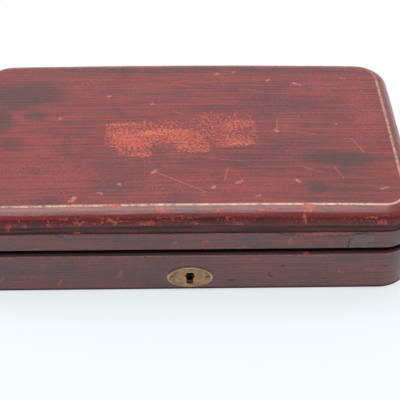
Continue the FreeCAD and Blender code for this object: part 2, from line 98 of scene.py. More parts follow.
class Graph:
    """A shader tree with short ways to add and wire its nodes."""

    def __init__(self, tree: bpy.types.NodeTree) -> None:
        """Keep the tree that nodes are added to."""
        self.tree = tree

    def node(self, kind: str, **settings: Any) -> bpy.types.Node:
        """Add one node.

        Args:
            kind: the node's type name after "ShaderNode".
            settings: attributes to set on it.

        Returns:
            The new node.
        """
        made = self.tree.nodes.new("ShaderNode" + kind)
        for name, value in settings.items():
            setattr(made, name, value)
        return made

    def feed(self, target: Socket, source: Any) -> None:
        """Wire a socket, or set its value.

        Args:
            target: the input socket.
            source: an output socket or a plain value.
        """
        if isinstance(source, Socket):
            self.tree.links.new(source, target)
        else:
            target.default_value = source

    def math(self, operation: str, first: Any, second: Any = 0.0, clamp: bool = False) -> Socket:
        """Add a Math node and return its output.

        Args:
            operation: the node's operation.
            first: first value or socket.
            second: second value or socket.
            clamp: whether the result is held to 0 and 1.

        Returns:
            The value socket.
        """
        made = self.node("Math", operation=operation, use_clamp=clamp)
        self.feed(made.inputs[0], first)
        self.feed(made.inputs[1], second)
        return made.outputs[0]

    def plus(self, first: Any, second: Any) -> Socket:
        """Return the sum of two values."""
        return self.math("ADD", first, second)

    def times(self, first: Any, second: Any) -> Socket:
        """Return the product of two values."""
        return self.math("MULTIPLY", first, second)

    def most(self, first: Any, second: Any) -> Socket:
        """Return the larger of two values."""
        return self.math("MAXIMUM", first, second)

    def linear(self, value: Any, scale: float, shift: float) -> Socket:
        """Return a value scaled and then shifted."""
        made = self.math("MULTIPLY_ADD", value, scale)
        made.node.inputs[2].default_value = shift
        return made

    def step(self, value: Any, low: float, high: float, start: float = 0.0, end: float = 1.0) -> Socket:
        """Add a smooth Map Range node.

        Args:
            value: the socket to map.
            low: input that gives start.
            high: input that gives end.
            start: output at low.
            end: output at high.

        Returns:
            The mapped socket.
        """
        made = self.node("MapRange", interpolation_type="SMOOTHSTEP")
        self.feed(made.inputs["Value"], value)
        for name, number in (("From Min", low), ("From Max", high), ("To Min", start), ("To Max", end)):
            made.inputs[name].default_value = number
        return made.outputs["Result"]

    def vector(self, operation: str, first: Any, second: Any) -> bpy.types.Node:
        """Return a Vector Math node of two inputs."""
        made = self.node("VectorMath", operation=operation)
        self.feed(made.inputs[0], first)
        self.feed(made.inputs[1], second)
        return made

    def scaled(self, vector: Any, factor: Any) -> Socket:
        """Return a vector times a value."""
        made = self.node("VectorMath", operation="SCALE")
        self.feed(made.inputs[0], vector)
        self.feed(made.inputs["Scale"], factor)
        return made.outputs[0]

    def stretch(self, vector: Any, scale: Triple, shift: Triple = (0.0, 0.0, 0.0)) -> Socket:
        """Return a vector scaled along each axis and then shifted."""
        made = self.vector("MULTIPLY_ADD", vector, scale)
        made.inputs[2].default_value = shift
        return made.outputs[0]

    def cloud(self, vector: Any, scale: Triple, detail: float, rough: float = 0.55,
              twist: float = 0.0) -> Socket:
        """Add a noise texture and return its value.

        Args:
            vector: coordinates.
            scale: how fine the noise is along each axis.
            detail: octaves.
            rough: strength of the finer octaves.
            twist: distortion.

        Returns:
            The value socket, about 0 to 1.
        """
        made = self.node("TexNoise")
        self.feed(made.inputs["Vector"], self.stretch(vector, scale))
        for name, number in (("Scale", 1.0), ("Detail", detail), ("Roughness", rough), ("Distortion", twist)):
            made.inputs[name].default_value = number
        return made.outputs["Fac"]

    def blend(self, share: Any, first: Any, second: Any) -> Socket:
        """Mix two colours.

        Args:
            share: weight of the second colour.
            first: colour or socket.
            second: colour or socket.

        Returns:
            The colour socket.
        """
        made = self.node("Mix", data_type="RGBA", blend_type="MIX")
        self.feed(made.inputs[0], share)
        self.feed(made.inputs[6], rgba(first) if isinstance(first, tuple) else first)
        self.feed(made.inputs[7], rgba(second) if isinstance(second, tuple) else second)
        return made.outputs[2]

    def layers(self, colour: Any, source: bpy.types.Node, rows: Iterable[Layer]) -> Socket:
        """Lay colours over one another.

        Args:
            colour: the lowest colour.
            source: the placed group whose outputs mask the layers.
            rows: output, level that hides, level that shows, strength and colour of each layer.

        Returns:
            The colour socket.
        """
        for output, hidden, shown, strength, tone in rows:
            colour = self.blend(self.step(source.outputs[output], hidden, shown, 0.0, strength), colour, tone)
        return colour

    def attribute(self, name: str) -> Socket:
        """Return the value of a mesh attribute."""
        return self.node("Attribute", attribute_name=name).outputs["Fac"]

    def split(self, vector: Any) -> Any:
        """Return the three axes of a vector."""
        made = self.node("SeparateXYZ")
        self.feed(made.inputs[0], vector)
        return made.outputs

    def place(self, group: bpy.types.NodeTree, **values: Any) -> bpy.types.Node:
        """Place a node group.

        Args:
            group: the shared tree.
            values: inputs by name.

        Returns:
            The group node.
        """
        made = self.node("Group", node_tree=group)
        for name, value in values.items():
            self.feed(made.inputs[name], value)
        return made

    def bump(self, height: Any, strength: float, depth: float) -> Socket:
        """Add a bump node.

        Args:
            height: height from 0 to 1.
            strength: share of the effect.
            depth: real depth in metres.

        Returns:
            The normal socket.
        """
        made = self.node("Bump")
        made.inputs["Strength"].default_value = strength
        made.inputs["Distance"].default_value = depth
        self.feed(made.inputs["Height"], height)
        return made.outputs["Normal"]


class SharedEffects:
    """Node groups that several finishes use. Their vectors are in millimetres."""

    def __init__(self) -> None:
        """Build every group once."""
        self.grain = self._straight_grain()
        self.ragged = self._ragged_mask()
        self.metal = self._metal_age()
        self.pile = self._cloth_pile()
        self.scar = self._scar()
        self.wobble = self._wobble()

    @staticmethod
    def _group(name: str, **inputs: Optional[float]) -> tuple[Graph, Any]:
        """Start a node group.

        Args:
            name: the group's name.
            inputs: default of each input, where None stands for a vector.

        Returns:
            The graph and its input sockets.
        """
        tree = bpy.data.node_groups.new(name, "ShaderNodeTree")
        for label, default in inputs.items():
            kind = "NodeSocketVector" if default is None else "NodeSocketFloat"
            socket = tree.interface.new_socket(name=label, in_out="INPUT", socket_type=kind)
            if default is not None:
                socket.default_value = default
        return Graph(tree), tree.nodes.new("NodeGroupInput").outputs

    @staticmethod
    def _close(graph: Graph, **outputs: Socket) -> bpy.types.NodeTree:
        """Give a node group its outputs.

        Args:
            graph: the group's graph.
            outputs: the socket behind each output.

        Returns:
            The finished group.
        """
        for label, value in outputs.items():
            kind = "NodeSocketVector" if value.type == "VECTOR" else "NodeSocketFloat"
            graph.tree.interface.new_socket(name=label, in_out="OUTPUT", socket_type=kind)
        target = graph.tree.nodes.new("NodeGroupOutput")
        for label, value in outputs.items():
            graph.feed(target.inputs[label], value)
        return graph.tree

    def _straight_grain(self) -> bpy.types.NodeTree:
        """Return the ribs of straight-grain leather, which repeat along the vector's Z."""
        graph, inputs = self._group("straight_grain", Vector=None, Pitch=3.0)
        vector = inputs["Vector"]
        sway = graph.cloud(vector, (0.012, 0.012, 0.05), 2.0)
        turns = graph.math("DIVIDE", graph.split(vector)["Z"], inputs["Pitch"])
        wave = graph.math("SINE", graph.times(graph.plus(turns, graph.times(sway, 2.2)), 2.0 * math.pi))
        kept = graph.step(graph.cloud(vector, (0.02, 0.02, 0.03), 3.0, 0.6), 0.38, 0.62, 0.25, 1.0)
        fine = graph.cloud(vector, (0.06, 0.06, 0.9), 4.0, 0.65)
        pore = graph.cloud(vector, (0.75, 0.75, 1.2), 3.0, 0.65)
        ridge = graph.plus(graph.times(graph.times(wave, kept), 0.15), graph.times(fine, 0.5))
        ridge = graph.plus(ridge, graph.times(pore, 0.5))
        streak = graph.cloud(vector, (0.02, 0.02, 0.35), 4.0, 0.6)
        mottle = graph.cloud(vector, (0.03, 0.03, 0.04), 5.0, 0.62, 0.4)
        speck = graph.cloud(vector, (0.33, 0.33, 0.42), 2.0, 0.5)
        return self._close(graph, Ridge=ridge, Streak=streak, Mottle=mottle, Speck=speck, Pore=pore)

    def _ragged_mask(self) -> bpy.types.NodeTree:
        """Return a soft mask with its edge broken up along the grain."""
        graph, inputs = self._group("ragged_mask", Vector=None, Mark=0.0)
        fine = graph.cloud(inputs["Vector"], (0.62, 0.62, 0.75), 3.0, 0.6)
        broad = graph.cloud(inputs["Vector"], (0.07, 0.07, 0.12), 3.0, 0.6, 0.5)
        level = graph.plus(inputs["Mark"], graph.linear(fine, 2.5, -1.25))
        level = graph.plus(level, graph.linear(broad, 0.9, -0.45))
        present = graph.step(inputs["Mark"], 0.02, 0.25)
        return self._close(graph, Mask=graph.times(graph.step(level, 0.42, 0.66), present))

    def _metal_age(self) -> bpy.types.NodeTree:
        """Return tarnish, scratches and dents for old sheet metal."""
        graph, inputs = self._group("metal_age", Vector=None)
        tarnish = graph.cloud(inputs["Vector"], (0.35, 0.35, 0.35), 5.0, 0.65, 0.3)
        scratch = graph.cloud(inputs["Vector"], (6.0, 6.0, 0.5), 3.0, 0.6)
        dent = graph.cloud(inputs["Vector"], (0.9, 0.9, 0.9), 2.0, 0.5)
        return self._close(graph, Tarnish=tarnish, Scratch=scratch, Dent=dent)

    def _cloth_pile(self) -> bpy.types.NodeTree:
        """Return nap, thread and fading for cloth."""
        graph, inputs = self._group("cloth_pile", Vector=None)
        nap = graph.cloud(inputs["Vector"], (0.06, 0.06, 0.06), 4.0, 0.6, 0.6)
        thread = graph.cloud(inputs["Vector"], (3.2, 3.2, 3.2), 2.0, 0.7)
        fade = graph.cloud(inputs["Vector"], (0.018, 0.018, 0.018), 3.0, 0.5)
        return self._close(graph, Nap=nap, Thread=thread, Fade=fade)

    def _wobble(self) -> bpy.types.NodeTree:
        """Return the coordinates shaken by fine noise, so that drawn lines look torn."""
        graph, inputs = self._group("wobble", Vector=None, Amount=1.0)
        shake = graph.cloud(inputs["Vector"], (0.7, 0.7, 0.7), 4.0, 0.5).node.outputs["Color"]
        move = graph.scaled(graph.stretch(shake, (2.0, 0.0, 2.0), (-1.0, 0.0, -1.0)), inputs["Amount"])
        return self._close(graph, Vector=graph.vector("ADD", inputs["Vector"], move).outputs[0])

    def _scar(self) -> bpy.types.NodeTree:
        """Return the mask of a line of some width between two points."""
        graph, inputs = self._group("scar", Vector=None, Start=None, End=None, Width=0.5)
        here = graph.vector("SUBTRACT", inputs["Vector"], inputs["Start"]).outputs[0]
        line = graph.vector("SUBTRACT", inputs["End"], inputs["Start"]).outputs[0]
        along = graph.vector("DOT_PRODUCT", here, line).outputs["Value"]
        whole = graph.vector("DOT_PRODUCT", line, line).outputs["Value"]
        share = graph.math("DIVIDE", along, graph.plus(whole, 0.0001), clamp=True)
        away = graph.vector("DISTANCE", here, graph.scaled(line, share)).outputs["Value"]
        body = graph.step(graph.math("DIVIDE", away, inputs["Width"]), 1.45, 0.45)
        broken = graph.step(graph.cloud(inputs["Vector"], (0.8, 0.8, 0.8), 3.0, 0.6), 0.30, 0.52, 0.25, 1.0)
        return self._close(graph, Mask=graph.times(body, broken))


def new_material(name: str) -> tuple[bpy.types.Material, Graph, bpy.types.Node]:
    """Start a material.

    Args:
        name: the finish's name.

    Returns:
        The material, its graph and its Principled shader.
    """
    material = bpy.data.materials.new(name)
    material.use_nodes = True
    return material, Graph(material.node_tree), material.node_tree.nodes["Principled BSDF"]


def object_millimetres(graph: Graph) -> Socket:
    """Return the object coordinates in millimetres."""
    return graph.stretch(graph.node("TexCoord").outputs["Object"], (PER_METRE, PER_METRE, PER_METRE))


@dataclass(frozen=True)
class LeatherTones:
    """Colours that every red leather of the case shares."""

    deep: Colour = (0.165, 0.019, 0.021)
    red: Colour = (0.300, 0.031, 0.032)
    warm: Colour = (0.380, 0.060, 0.045)
    # painted shade: dark wine red for the lid's shoulder where it turns away from the light
    shade_wine: Colour = (0.135, 0.006, 0.008)
    soot: Colour = (0.055, 0.025, 0.024)
    shadow: Colour = (0.026, 0.009, 0.009)
    dust: Colour = (0.215, 0.100, 0.092)
    raw: Colour = (0.620, 0.095, 0.052)
    amber: Colour = (0.760, 0.220, 0.105)
    raw_dark: Colour = (0.330, 0.045, 0.038)
    chalk: Colour = (0.600, 0.190, 0.130)
    gold: Colour = (0.740, 0.500, 0.340)


@dataclass(frozen=True)
class Scar:
    """A scratch, speck, chip or painted shadow line between two points of a finish's own coordinates, in
    millimetres.
    """

    start: Triple
    end: Triple
    width: float
    level: float = 1.0

    def mask(self, graph: Graph, effects: SharedEffects, vector: Any) -> Socket:
        """Return the scar's mask.

        Args:
            graph: the material's graph.
            effects: shared node groups.
            vector: coordinates in millimetres, already unsteady.

        Returns:
            The mask socket.
        """
        placed = graph.place(effects.scar, Vector=vector, Start=self.start, End=self.end, Width=self.width)
        return graph.times(placed.outputs["Mask"], self.level)


def scar_mask(graph: Graph, effects: SharedEffects, vector: Any, scars: Sequence[Scar], shake: float) -> Any:
    """Join several scars into one mask.

    Args:
        graph: the material's graph.
        effects: shared node groups.
        vector: coordinates in millimetres.
        scars: the scars to join.
        shake: how far the outlines of chips are shaken, in millimetres; scratches take less.

    Returns:
        The joined mask, or 0 where there are none.
    """
    torn = graph.place(effects.wobble, Vector=vector, Amount=shake).outputs["Vector"]
    drawn = graph.place(effects.wobble, Vector=vector, Amount=0.3 * shake).outputs["Vector"]
    total: Any = 0.0
    for scar in scars:
        total = graph.most(total, scar.mask(graph, effects, torn if scar.width > SCRATCH_WIDTH else drawn))
    return total


@dataclass(frozen=True)
class LidLeather:
    """Worn leather of the lid's top, drawn on the skin's own flat coordinates.

    The mesh attribute "edge" is the way down from the start of the shoulder, in millimetres.
    """

    tones: LeatherTones
    raw_scars: tuple[Scar, ...] = ()
    pale_scars: tuple[Scar, ...] = ()
    pitch: float = 2.9
    gilt_at: float = 0.9
    gilt_half_width: float = 1.0
    grain_depth: float = 0.0004

    def material(self, effects: SharedEffects) -> bpy.types.Material:
        """Build the material.

        Args:
            effects: shared node groups.

        Returns:
            The finished material.
        """
        material, graph, shader = new_material("lid_leather")
        tones = self.tones
        flat = graph.split(graph.node("UVMap", uv_map="skin").outputs["UV"])
        joined = graph.node("CombineXYZ")
        graph.feed(joined.inputs["X"], graph.times(flat["X"], PER_METRE))
        graph.feed(joined.inputs["Z"], graph.times(flat["Y"], PER_METRE))
        vector = joined.outputs[0]
        grain = graph.place(effects.grain, Vector=vector, Pitch=self.pitch)
        mark = {kind: graph.attribute(kind.value) for kind in MarkKind}
        mask = {kind: graph.place(effects.ragged, Vector=vector, Mark=mark[kind]).outputs["Mask"]
                for kind in MarkKind}
        colour = self._shoulder_shade(graph, grain, self._ground(graph, grain))
        colour = graph.blend(graph.times(mask[MarkKind.RUB], 0.55), colour, tones.warm)
        colour = graph.blend(graph.step(mark[MarkKind.STAIN], 0.0, 1.0, 0.0, 0.45), colour, tones.soot)
        colour = graph.blend(graph.times(mask[MarkKind.STAIN], 0.6), colour, tones.soot)
        raw = graph.layers(tones.raw_dark, grain, (
            ("Pore", 0.36, 0.58, 1.0, tones.raw),
            ("Streak", 0.46, 0.70, 0.6, tones.amber),
        ))
        torn = graph.most(mask[MarkKind.BARE], scar_mask(graph, effects, vector, self.raw_scars, 2.2))
        colour = graph.blend(graph.times(torn, 0.92), colour, raw)
        specks = graph.step(grain.outputs["Speck"], 0.735, 0.775)
        pale = graph.most(graph.times(specks, 0.6), scar_mask(graph, effects, vector, self.pale_scars, 2.0))
        colour = graph.blend(graph.times(pale, 0.8), colour, tones.chalk)
        gilt = self._gilt(graph, vector, torn)
        graph.feed(shader.inputs["Base Color"], graph.blend(gilt, colour, tones.gold))
        graph.feed(shader.inputs["Metallic"], graph.times(gilt, 0.6))
        rough = graph.plus(graph.step(grain.outputs["Ridge"], 0.3, 0.7, 0.40, 0.28), graph.times(torn, 0.3))
        under = graph.step(graph.attribute("edge"), 12.0, 13.2)
        graph.feed(shader.inputs["Roughness"], graph.plus(rough, graph.times(under, 0.35)))
        graph.feed(shader.inputs["Coat Weight"], graph.step(graph.attribute("edge"), 7.4, 9.2, 0.42, 0.0))
        shader.inputs["Coat Roughness"].default_value = 0.2
        height = graph.math("SUBTRACT", grain.outputs["Ridge"], graph.times(torn, 0.35))
        graph.feed(shader.inputs["Normal"], graph.bump(height, 0.6, self.grain_depth))
        return material

    def _ground(self, graph: Graph, grain: bpy.types.Node) -> Socket:
        """Return the leather's own colour before marks."""
        tones = self.tones
        return graph.layers(tones.deep, grain, (
            ("Streak", 0.34, 0.64, 1.0, tones.red),
            ("Mottle", 0.54, 0.74, 0.5, tones.warm),
            ("Mottle", 0.47, 0.30, 0.55, tones.soot),
            ("Ridge", 0.56, 0.32, 0.46, tones.soot),
            ("Pore", 0.53, 0.68, 0.62, tones.dust),
        ))

    def _shoulder_shade(self, graph: Graph, grain: bpy.types.Node, colour: Any) -> Socket:
        """Paint shade onto the leather where it rolls over the shoulder, away from the light, and under it.

        Args:
            graph: the material's graph.
            grain: the placed grain group.
            colour: the leather's own colour.

        Returns:
            The colour socket.
        """
        down = graph.attribute("edge")
        # painted shade: the lower turn of the shoulder, which faces away from the light, in dark wine red
        turned_shade = graph.times(graph.step(down, 7.6, 9.2), graph.step(down, 13.0, 11.5, 0.0, 0.85))
        colour = graph.blend(turned_shade, colour, self.tones.shade_wine)
        # darker patches of painted shade in the same zone, broken up by the mottle
        dark_patches = graph.times(turned_shade, graph.step(grain.outputs["Mottle"], 0.54, 0.36, 0.0, 0.7))
        colour = graph.blend(dark_patches, colour, self.tones.shadow)
        # painted shade in streaks under the shoulder, where it curls in to the crease
        under_shade_streaks = graph.step(grain.outputs["Streak"], 0.66, 0.40, 0.45, 0.9)
        return graph.blend(graph.times(graph.step(down, 12.0, 13.6), under_shade_streaks), colour, self.tones.shadow)

    def _gilt(self, graph: Graph, vector: Any, torn: Any) -> Socket:
        """Return the mask of the worn gilt line along the shoulder.

        Args:
            graph: the material's graph.
            vector: coordinates in millimetres.
            torn: mask of the leather that is torn away.

        Returns:
            The mask socket.
        """
        away = graph.math("ABSOLUTE", graph.math("SUBTRACT", graph.attribute("edge"), self.gilt_at))
        line = graph.step(away, self.gilt_half_width, self.gilt_half_width * 0.5)
        worn = graph.cloud(vector, (0.3, 0.3, 0.3), 5.0, 0.75)
        kept = graph.plus(worn, graph.times(graph.attribute("gilt"), 0.5))
        left = graph.math("SUBTRACT", graph.step(kept, 0.50, 0.88, 0.0, 0.86), torn, clamp=True)
        return graph.times(line, left)


@dataclass(frozen=True)
class WallLeather:
    """Leather of upright walls, drawn on object coordinates, with painted shade along some levels and painted
    shadow lines. Levels are in millimetres.
    """

    name: str
    tones: LeatherTones
    pitch: float
    worn_edges: tuple[tuple[float, float], ...]
    shade_levels: tuple[tuple[float, float], ...] = ()
    raw_scars: tuple[Scar, ...] = ()
    shadow_and_dark_marks: tuple[Scar, ...] = ()
    grain_depth: float = 0.0004

    def material(self, effects: SharedEffects) -> bpy.types.Material:
        """Build the material.

        Args:
            effects: shared node groups.

        Returns:
            The finished material.
        """
        material, graph, shader = new_material(self.name)
        tones = self.tones
        vector = object_millimetres(graph)
        level = graph.split(vector)["Z"]
        grain = graph.place(effects.grain, Vector=vector, Pitch=self.pitch)
        colour = graph.layers(tones.deep, grain, (("Streak", 0.36, 0.66, 1.0, tones.red),))
        colour = graph.blend(graph.step(grain.outputs["Mottle"], 0.54, 0.32, 0.15, 0.7), colour, tones.soot)
        colour = graph.layers(colour, grain, (
            ("Ridge", 0.56, 0.34, 0.6, tones.soot),
            ("Pore", 0.52, 0.74, 0.45, tones.dust),
        ))
        # painted shadow lines and dark marks, then painted shade along the shade levels, all in the shadow
        # tone
        shade_and_marks = graph.times(scar_mask(graph, effects, vector, self.shadow_and_dark_marks, 1.6), 0.55)
        for dark, light in self.shade_levels:
            shade_and_marks = graph.most(shade_and_marks, graph.step(level, light, dark, 0.0, 0.9))
        colour = graph.blend(shade_and_marks, colour, tones.shadow)
        worn = graph.place(effects.ragged, Vector=vector, Mark=self._edge_wear(graph, level)).outputs["Mask"]
        torn = graph.most(worn, scar_mask(graph, effects, vector, self.raw_scars, 2.2))
        raw = graph.layers(tones.raw_dark, grain, (("Pore", 0.36, 0.60, 1.0, tones.raw),))
        colour = graph.blend(graph.times(torn, 0.75), colour, raw)
        specks = graph.times(graph.step(grain.outputs["Speck"], 0.76, 0.80), 0.5)
        graph.feed(shader.inputs["Base Color"], graph.blend(specks, colour, tones.warm))
        rough = graph.plus(graph.step(grain.outputs["Streak"], 0.3, 0.7, 0.30, 0.44), graph.times(torn, 0.25))
        graph.feed(shader.inputs["Roughness"], graph.plus(rough, graph.times(shade_and_marks, 0.45)))
        graph.feed(shader.inputs["Coat Weight"], graph.math("SUBTRACT", 0.65, shade_and_marks, clamp=True))
        shader.inputs["Coat Roughness"].default_value = 0.28
        graph.feed(shader.inputs["Normal"], graph.bump(grain.outputs["Ridge"], 0.65, self.grain_depth))
        return material

    def _edge_wear(self, graph: Graph, level: Any) -> Any:
        """Return the wear along the levels where the leather turns an edge."""
        total: Any = 0.0
        for height, strength in self.worn_edges:
            away = graph.math("ABSOLUTE", graph.math("SUBTRACT", level, height))
            total = graph.most(total, graph.step(away, 0.8, 0.1, 0.0, strength))
        return total


@dataclass(frozen=True)
class AgedMetal:
    """Old brass or steel with tarnish and scratches.

    The oval, where there is one, is the height and the half sizes of a plate with a rubbed rim,
    in millimetres.
    """

    name: str
    bright: Colour
    dull: Colour
    rough: tuple[float, float]
    tarnish: tuple[float, float] = (0.4, 0.62)
    oval: Optional[Triple] = None
    rubbed: Colour = (0.62, 0.44, 0.28)
    copper: Colour = (0.46, 0.235, 0.115)
    dent_depth: float = 0.0002

    def material(self, effects: SharedEffects) -> bpy.types.Material:
        """Build the material.

        Args:
            effects: shared node groups.

        Returns:
            The finished material.
        """
        material, graph, shader = new_material(self.name)
        age = graph.place(effects.metal, Vector=object_millimetres(graph))
        dull = graph.step(age.outputs["Tarnish"], self.tarnish[0], self.tarnish[1])
        colour = graph.blend(dull, self.bright, self.dull)
        colour = graph.layers(colour, age, (("Scratch", 0.6, 0.75, 0.35, self.dull),))
        if self.oval is not None:
            colour = self._rim(graph, colour, age.outputs["Tarnish"])
        graph.feed(shader.inputs["Base Color"], colour)
        shader.inputs["Metallic"].default_value = 1.0
        graph.feed(shader.inputs["Roughness"], graph.step(dull, 0.0, 1.0, self.rough[0], self.rough[1]))
        height = graph.plus(graph.times(age.outputs["Dent"], 0.7), graph.times(age.outputs["Scratch"], 0.3))
        graph.feed(shader.inputs["Normal"], graph.bump(height, 0.35, self.dent_depth))
        return material

    def _rim(self, graph: Graph, colour: Any, tarnish: Any) -> Socket:
        """Return the colour with a rubbed rim and a coppery middle.

        Args:
            graph: the material's graph.
            colour: the metal's colour.
            tarnish: slow noise that breaks up both.

        Returns:
            The colour socket.
        """
        height, half_width, half_height = self.oval
        scale = (1.0 / half_width, 0.0, 1.0 / half_height)
        shift = (0.0, 0.0, -height / half_height)
        away = graph.node("VectorMath", operation="LENGTH")
        graph.feed(away.inputs[0], graph.stretch(object_millimetres(graph), scale, shift))
        share = graph.plus(away.outputs["Value"], graph.linear(tarnish, 0.10, -0.05))
        middle = graph.times(graph.step(share, 0.70, 0.30), graph.step(tarnish, 0.40, 0.60, 0.15, 0.75))
        colour = graph.blend(middle, colour, self.copper)
        groove = graph.times(graph.step(share, 0.80, 0.86), graph.step(share, 0.93, 0.88, 0.0, 0.45))
        colour = graph.blend(groove, colour, self.dull)
        return graph.blend(graph.step(share, 0.90, 0.95, 0.0, 0.85), colour, self.rubbed)


@dataclass(frozen=True)
class Cloth:
    """Velvet or silk with nap, thread and fading."""

    name: str
    main: Colour
    light: Colour
    dark: Colour
    sheen_tint: Colour
    rough: float
    thread_depth: float
    sheen: float = 0.3

    def material(self, effects: SharedEffects) -> bpy.types.Material:
        """Build the material.

        Args:
            effects: shared node groups.

        Returns:
            The finished material.
        """
        material, graph, shader = new_material(self.name)
        pile = graph.place(effects.pile, Vector=object_millimetres(graph))
        graph.feed(shader.inputs["Base Color"], graph.layers(self.dark, pile, (
            ("Nap", 0.35, 0.68, 1.0, self.main),
            ("Fade", 0.45, 0.72, 0.6, self.light),
            ("Thread", 0.55, 0.35, 0.3, self.dark),
        )))
        shader.inputs["Roughness"].default_value = self.rough
        shader.inputs["Sheen Weight"].default_value = self.sheen
        shader.inputs["Sheen Tint"].default_value = rgba(self.sheen_tint)
        shader.inputs["Sheen Roughness"].default_value = 0.4
        graph.feed(shader.inputs["Normal"], graph.bump(pile.outputs["Thread"], 0.5, self.thread_depth))
        return material


@dataclass(frozen=True)
class BareWood:
    """Plain softwood of the carcass."""

    pale: Colour = (0.50, 0.31, 0.15)
    ring: Colour = (0.30, 0.155, 0.06)
    pore_depth: float = 0.0002

    def material(self, effects: SharedEffects) -> bpy.types.Material:
        """Build the material.

        Args:
            effects: shared node groups, which plain wood has no use for.

        Returns:
            The finished material.
        """
        material, graph, shader = new_material("pine")
        vector = object_millimetres(graph)
        rings = graph.cloud(vector, (0.012, 0.25, 0.25), 4.0, 0.55, 0.8)
        pores = graph.cloud(vector, (0.1, 2.2, 2.2), 3.0, 0.6)
        colour = graph.blend(graph.step(rings, 0.42, 0.62), self.pale, self.ring)
        colour = graph.blend(graph.step(pores, 0.6, 0.75, 0.0, 0.4), colour, self.ring)
        graph.feed(shader.inputs["Base Color"], colour)
        graph.feed(shader.inputs["Roughness"], graph.step(pores, 0.3, 0.7, 0.55, 0.75))
        graph.feed(shader.inputs["Normal"], graph.bump(pores, 0.3, self.pore_depth))
        return material


def rounded_plan(half: Sequence[float], corner: float, segments: int) -> bmesh.types.BMesh:
    """Draw a flat rectangle with rounded corners.

    Args:
        half: half width and half depth.
        corner: radius of the corners.
        segments: edges of each corner.

    Returns:
        The new mesh.
    """
    mesh = bmesh.new()
    bmesh.ops.create_grid(mesh, x_segments=1, y_segments=1, size=1.0)
    bmesh.ops.scale(mesh, vec=(half[0], half[1], 1.0), verts=mesh.verts)
    bmesh.ops.bevel(mesh, geom=mesh.verts[:], offset=corner, offset_type="OFFSET", segments=segments,
                    profile=0.5, affect="VERTICES", material=-1)
    return mesh


def divide_plan(mesh: bmesh.types.BMesh, rings: Iterable[float], half: Sequence[float],
                cell: Sequence[float]) -> None:
    """Add rings inside the outline of a flat plan, and then cut it into cells.

    Args:
        mesh: the flat plan.
        rings: width of every ring, from the outline inward.
        half: half width and half depth.
        cell: size of the cells along both axes.
    """
    for width in rings:
        inner = max(mesh.faces, key=lambda face: face.calc_area())
        bmesh.ops.inset_region(mesh, faces=[inner], thickness=width, use_boundary=True, use_even_offset=True)
    for axis, normal in enumerate((Vector((1.0, 0.0, 0.0)), Vector((0.0, 1.0, 0.0)))):
        count = int(half[axis] / cell[axis])
        for index in range(-count, count + 1):
            parts = mesh.verts[:] + mesh.edges[:] + mesh.faces[:]
            bmesh.ops.bisect_plane(mesh, geom=parts, plane_co=normal * index * half[axis] / (count + 0.5),
                                   plane_no=normal, dist=CUT_REACH)


@dataclass(frozen=True)
class Mark:
    """A worn place on the lid's skin, in millimetres on the flattened skin."""

    kind: MarkKind
    across: float
    down: float
    reach: tuple[float, float]
    level: float
    turn: float
    power: float
    soft: float

    def value(self, u: float, v: float) -> float:
        """Return the mark's strength at a point of the skin.

        Args:
            u: the point's place across.
            v: the point's place down.

        Returns:
            The strength, from 0 to the mark's level.
        """
        angle = math.radians(self.turn)
        du, dv = u - self.across, v - self.down
        along = abs(du * math.cos(angle) + dv * math.sin(angle)) / self.reach[0]
        side = abs(dv * math.cos(angle) - du * math.sin(angle)) / self.reach[1]
        radius = (along ** self.power + side ** self.power) ** (1.0 / self.power)
        return self.level * smooth(1.0 + self.soft, 1.0 - self.soft, radius)


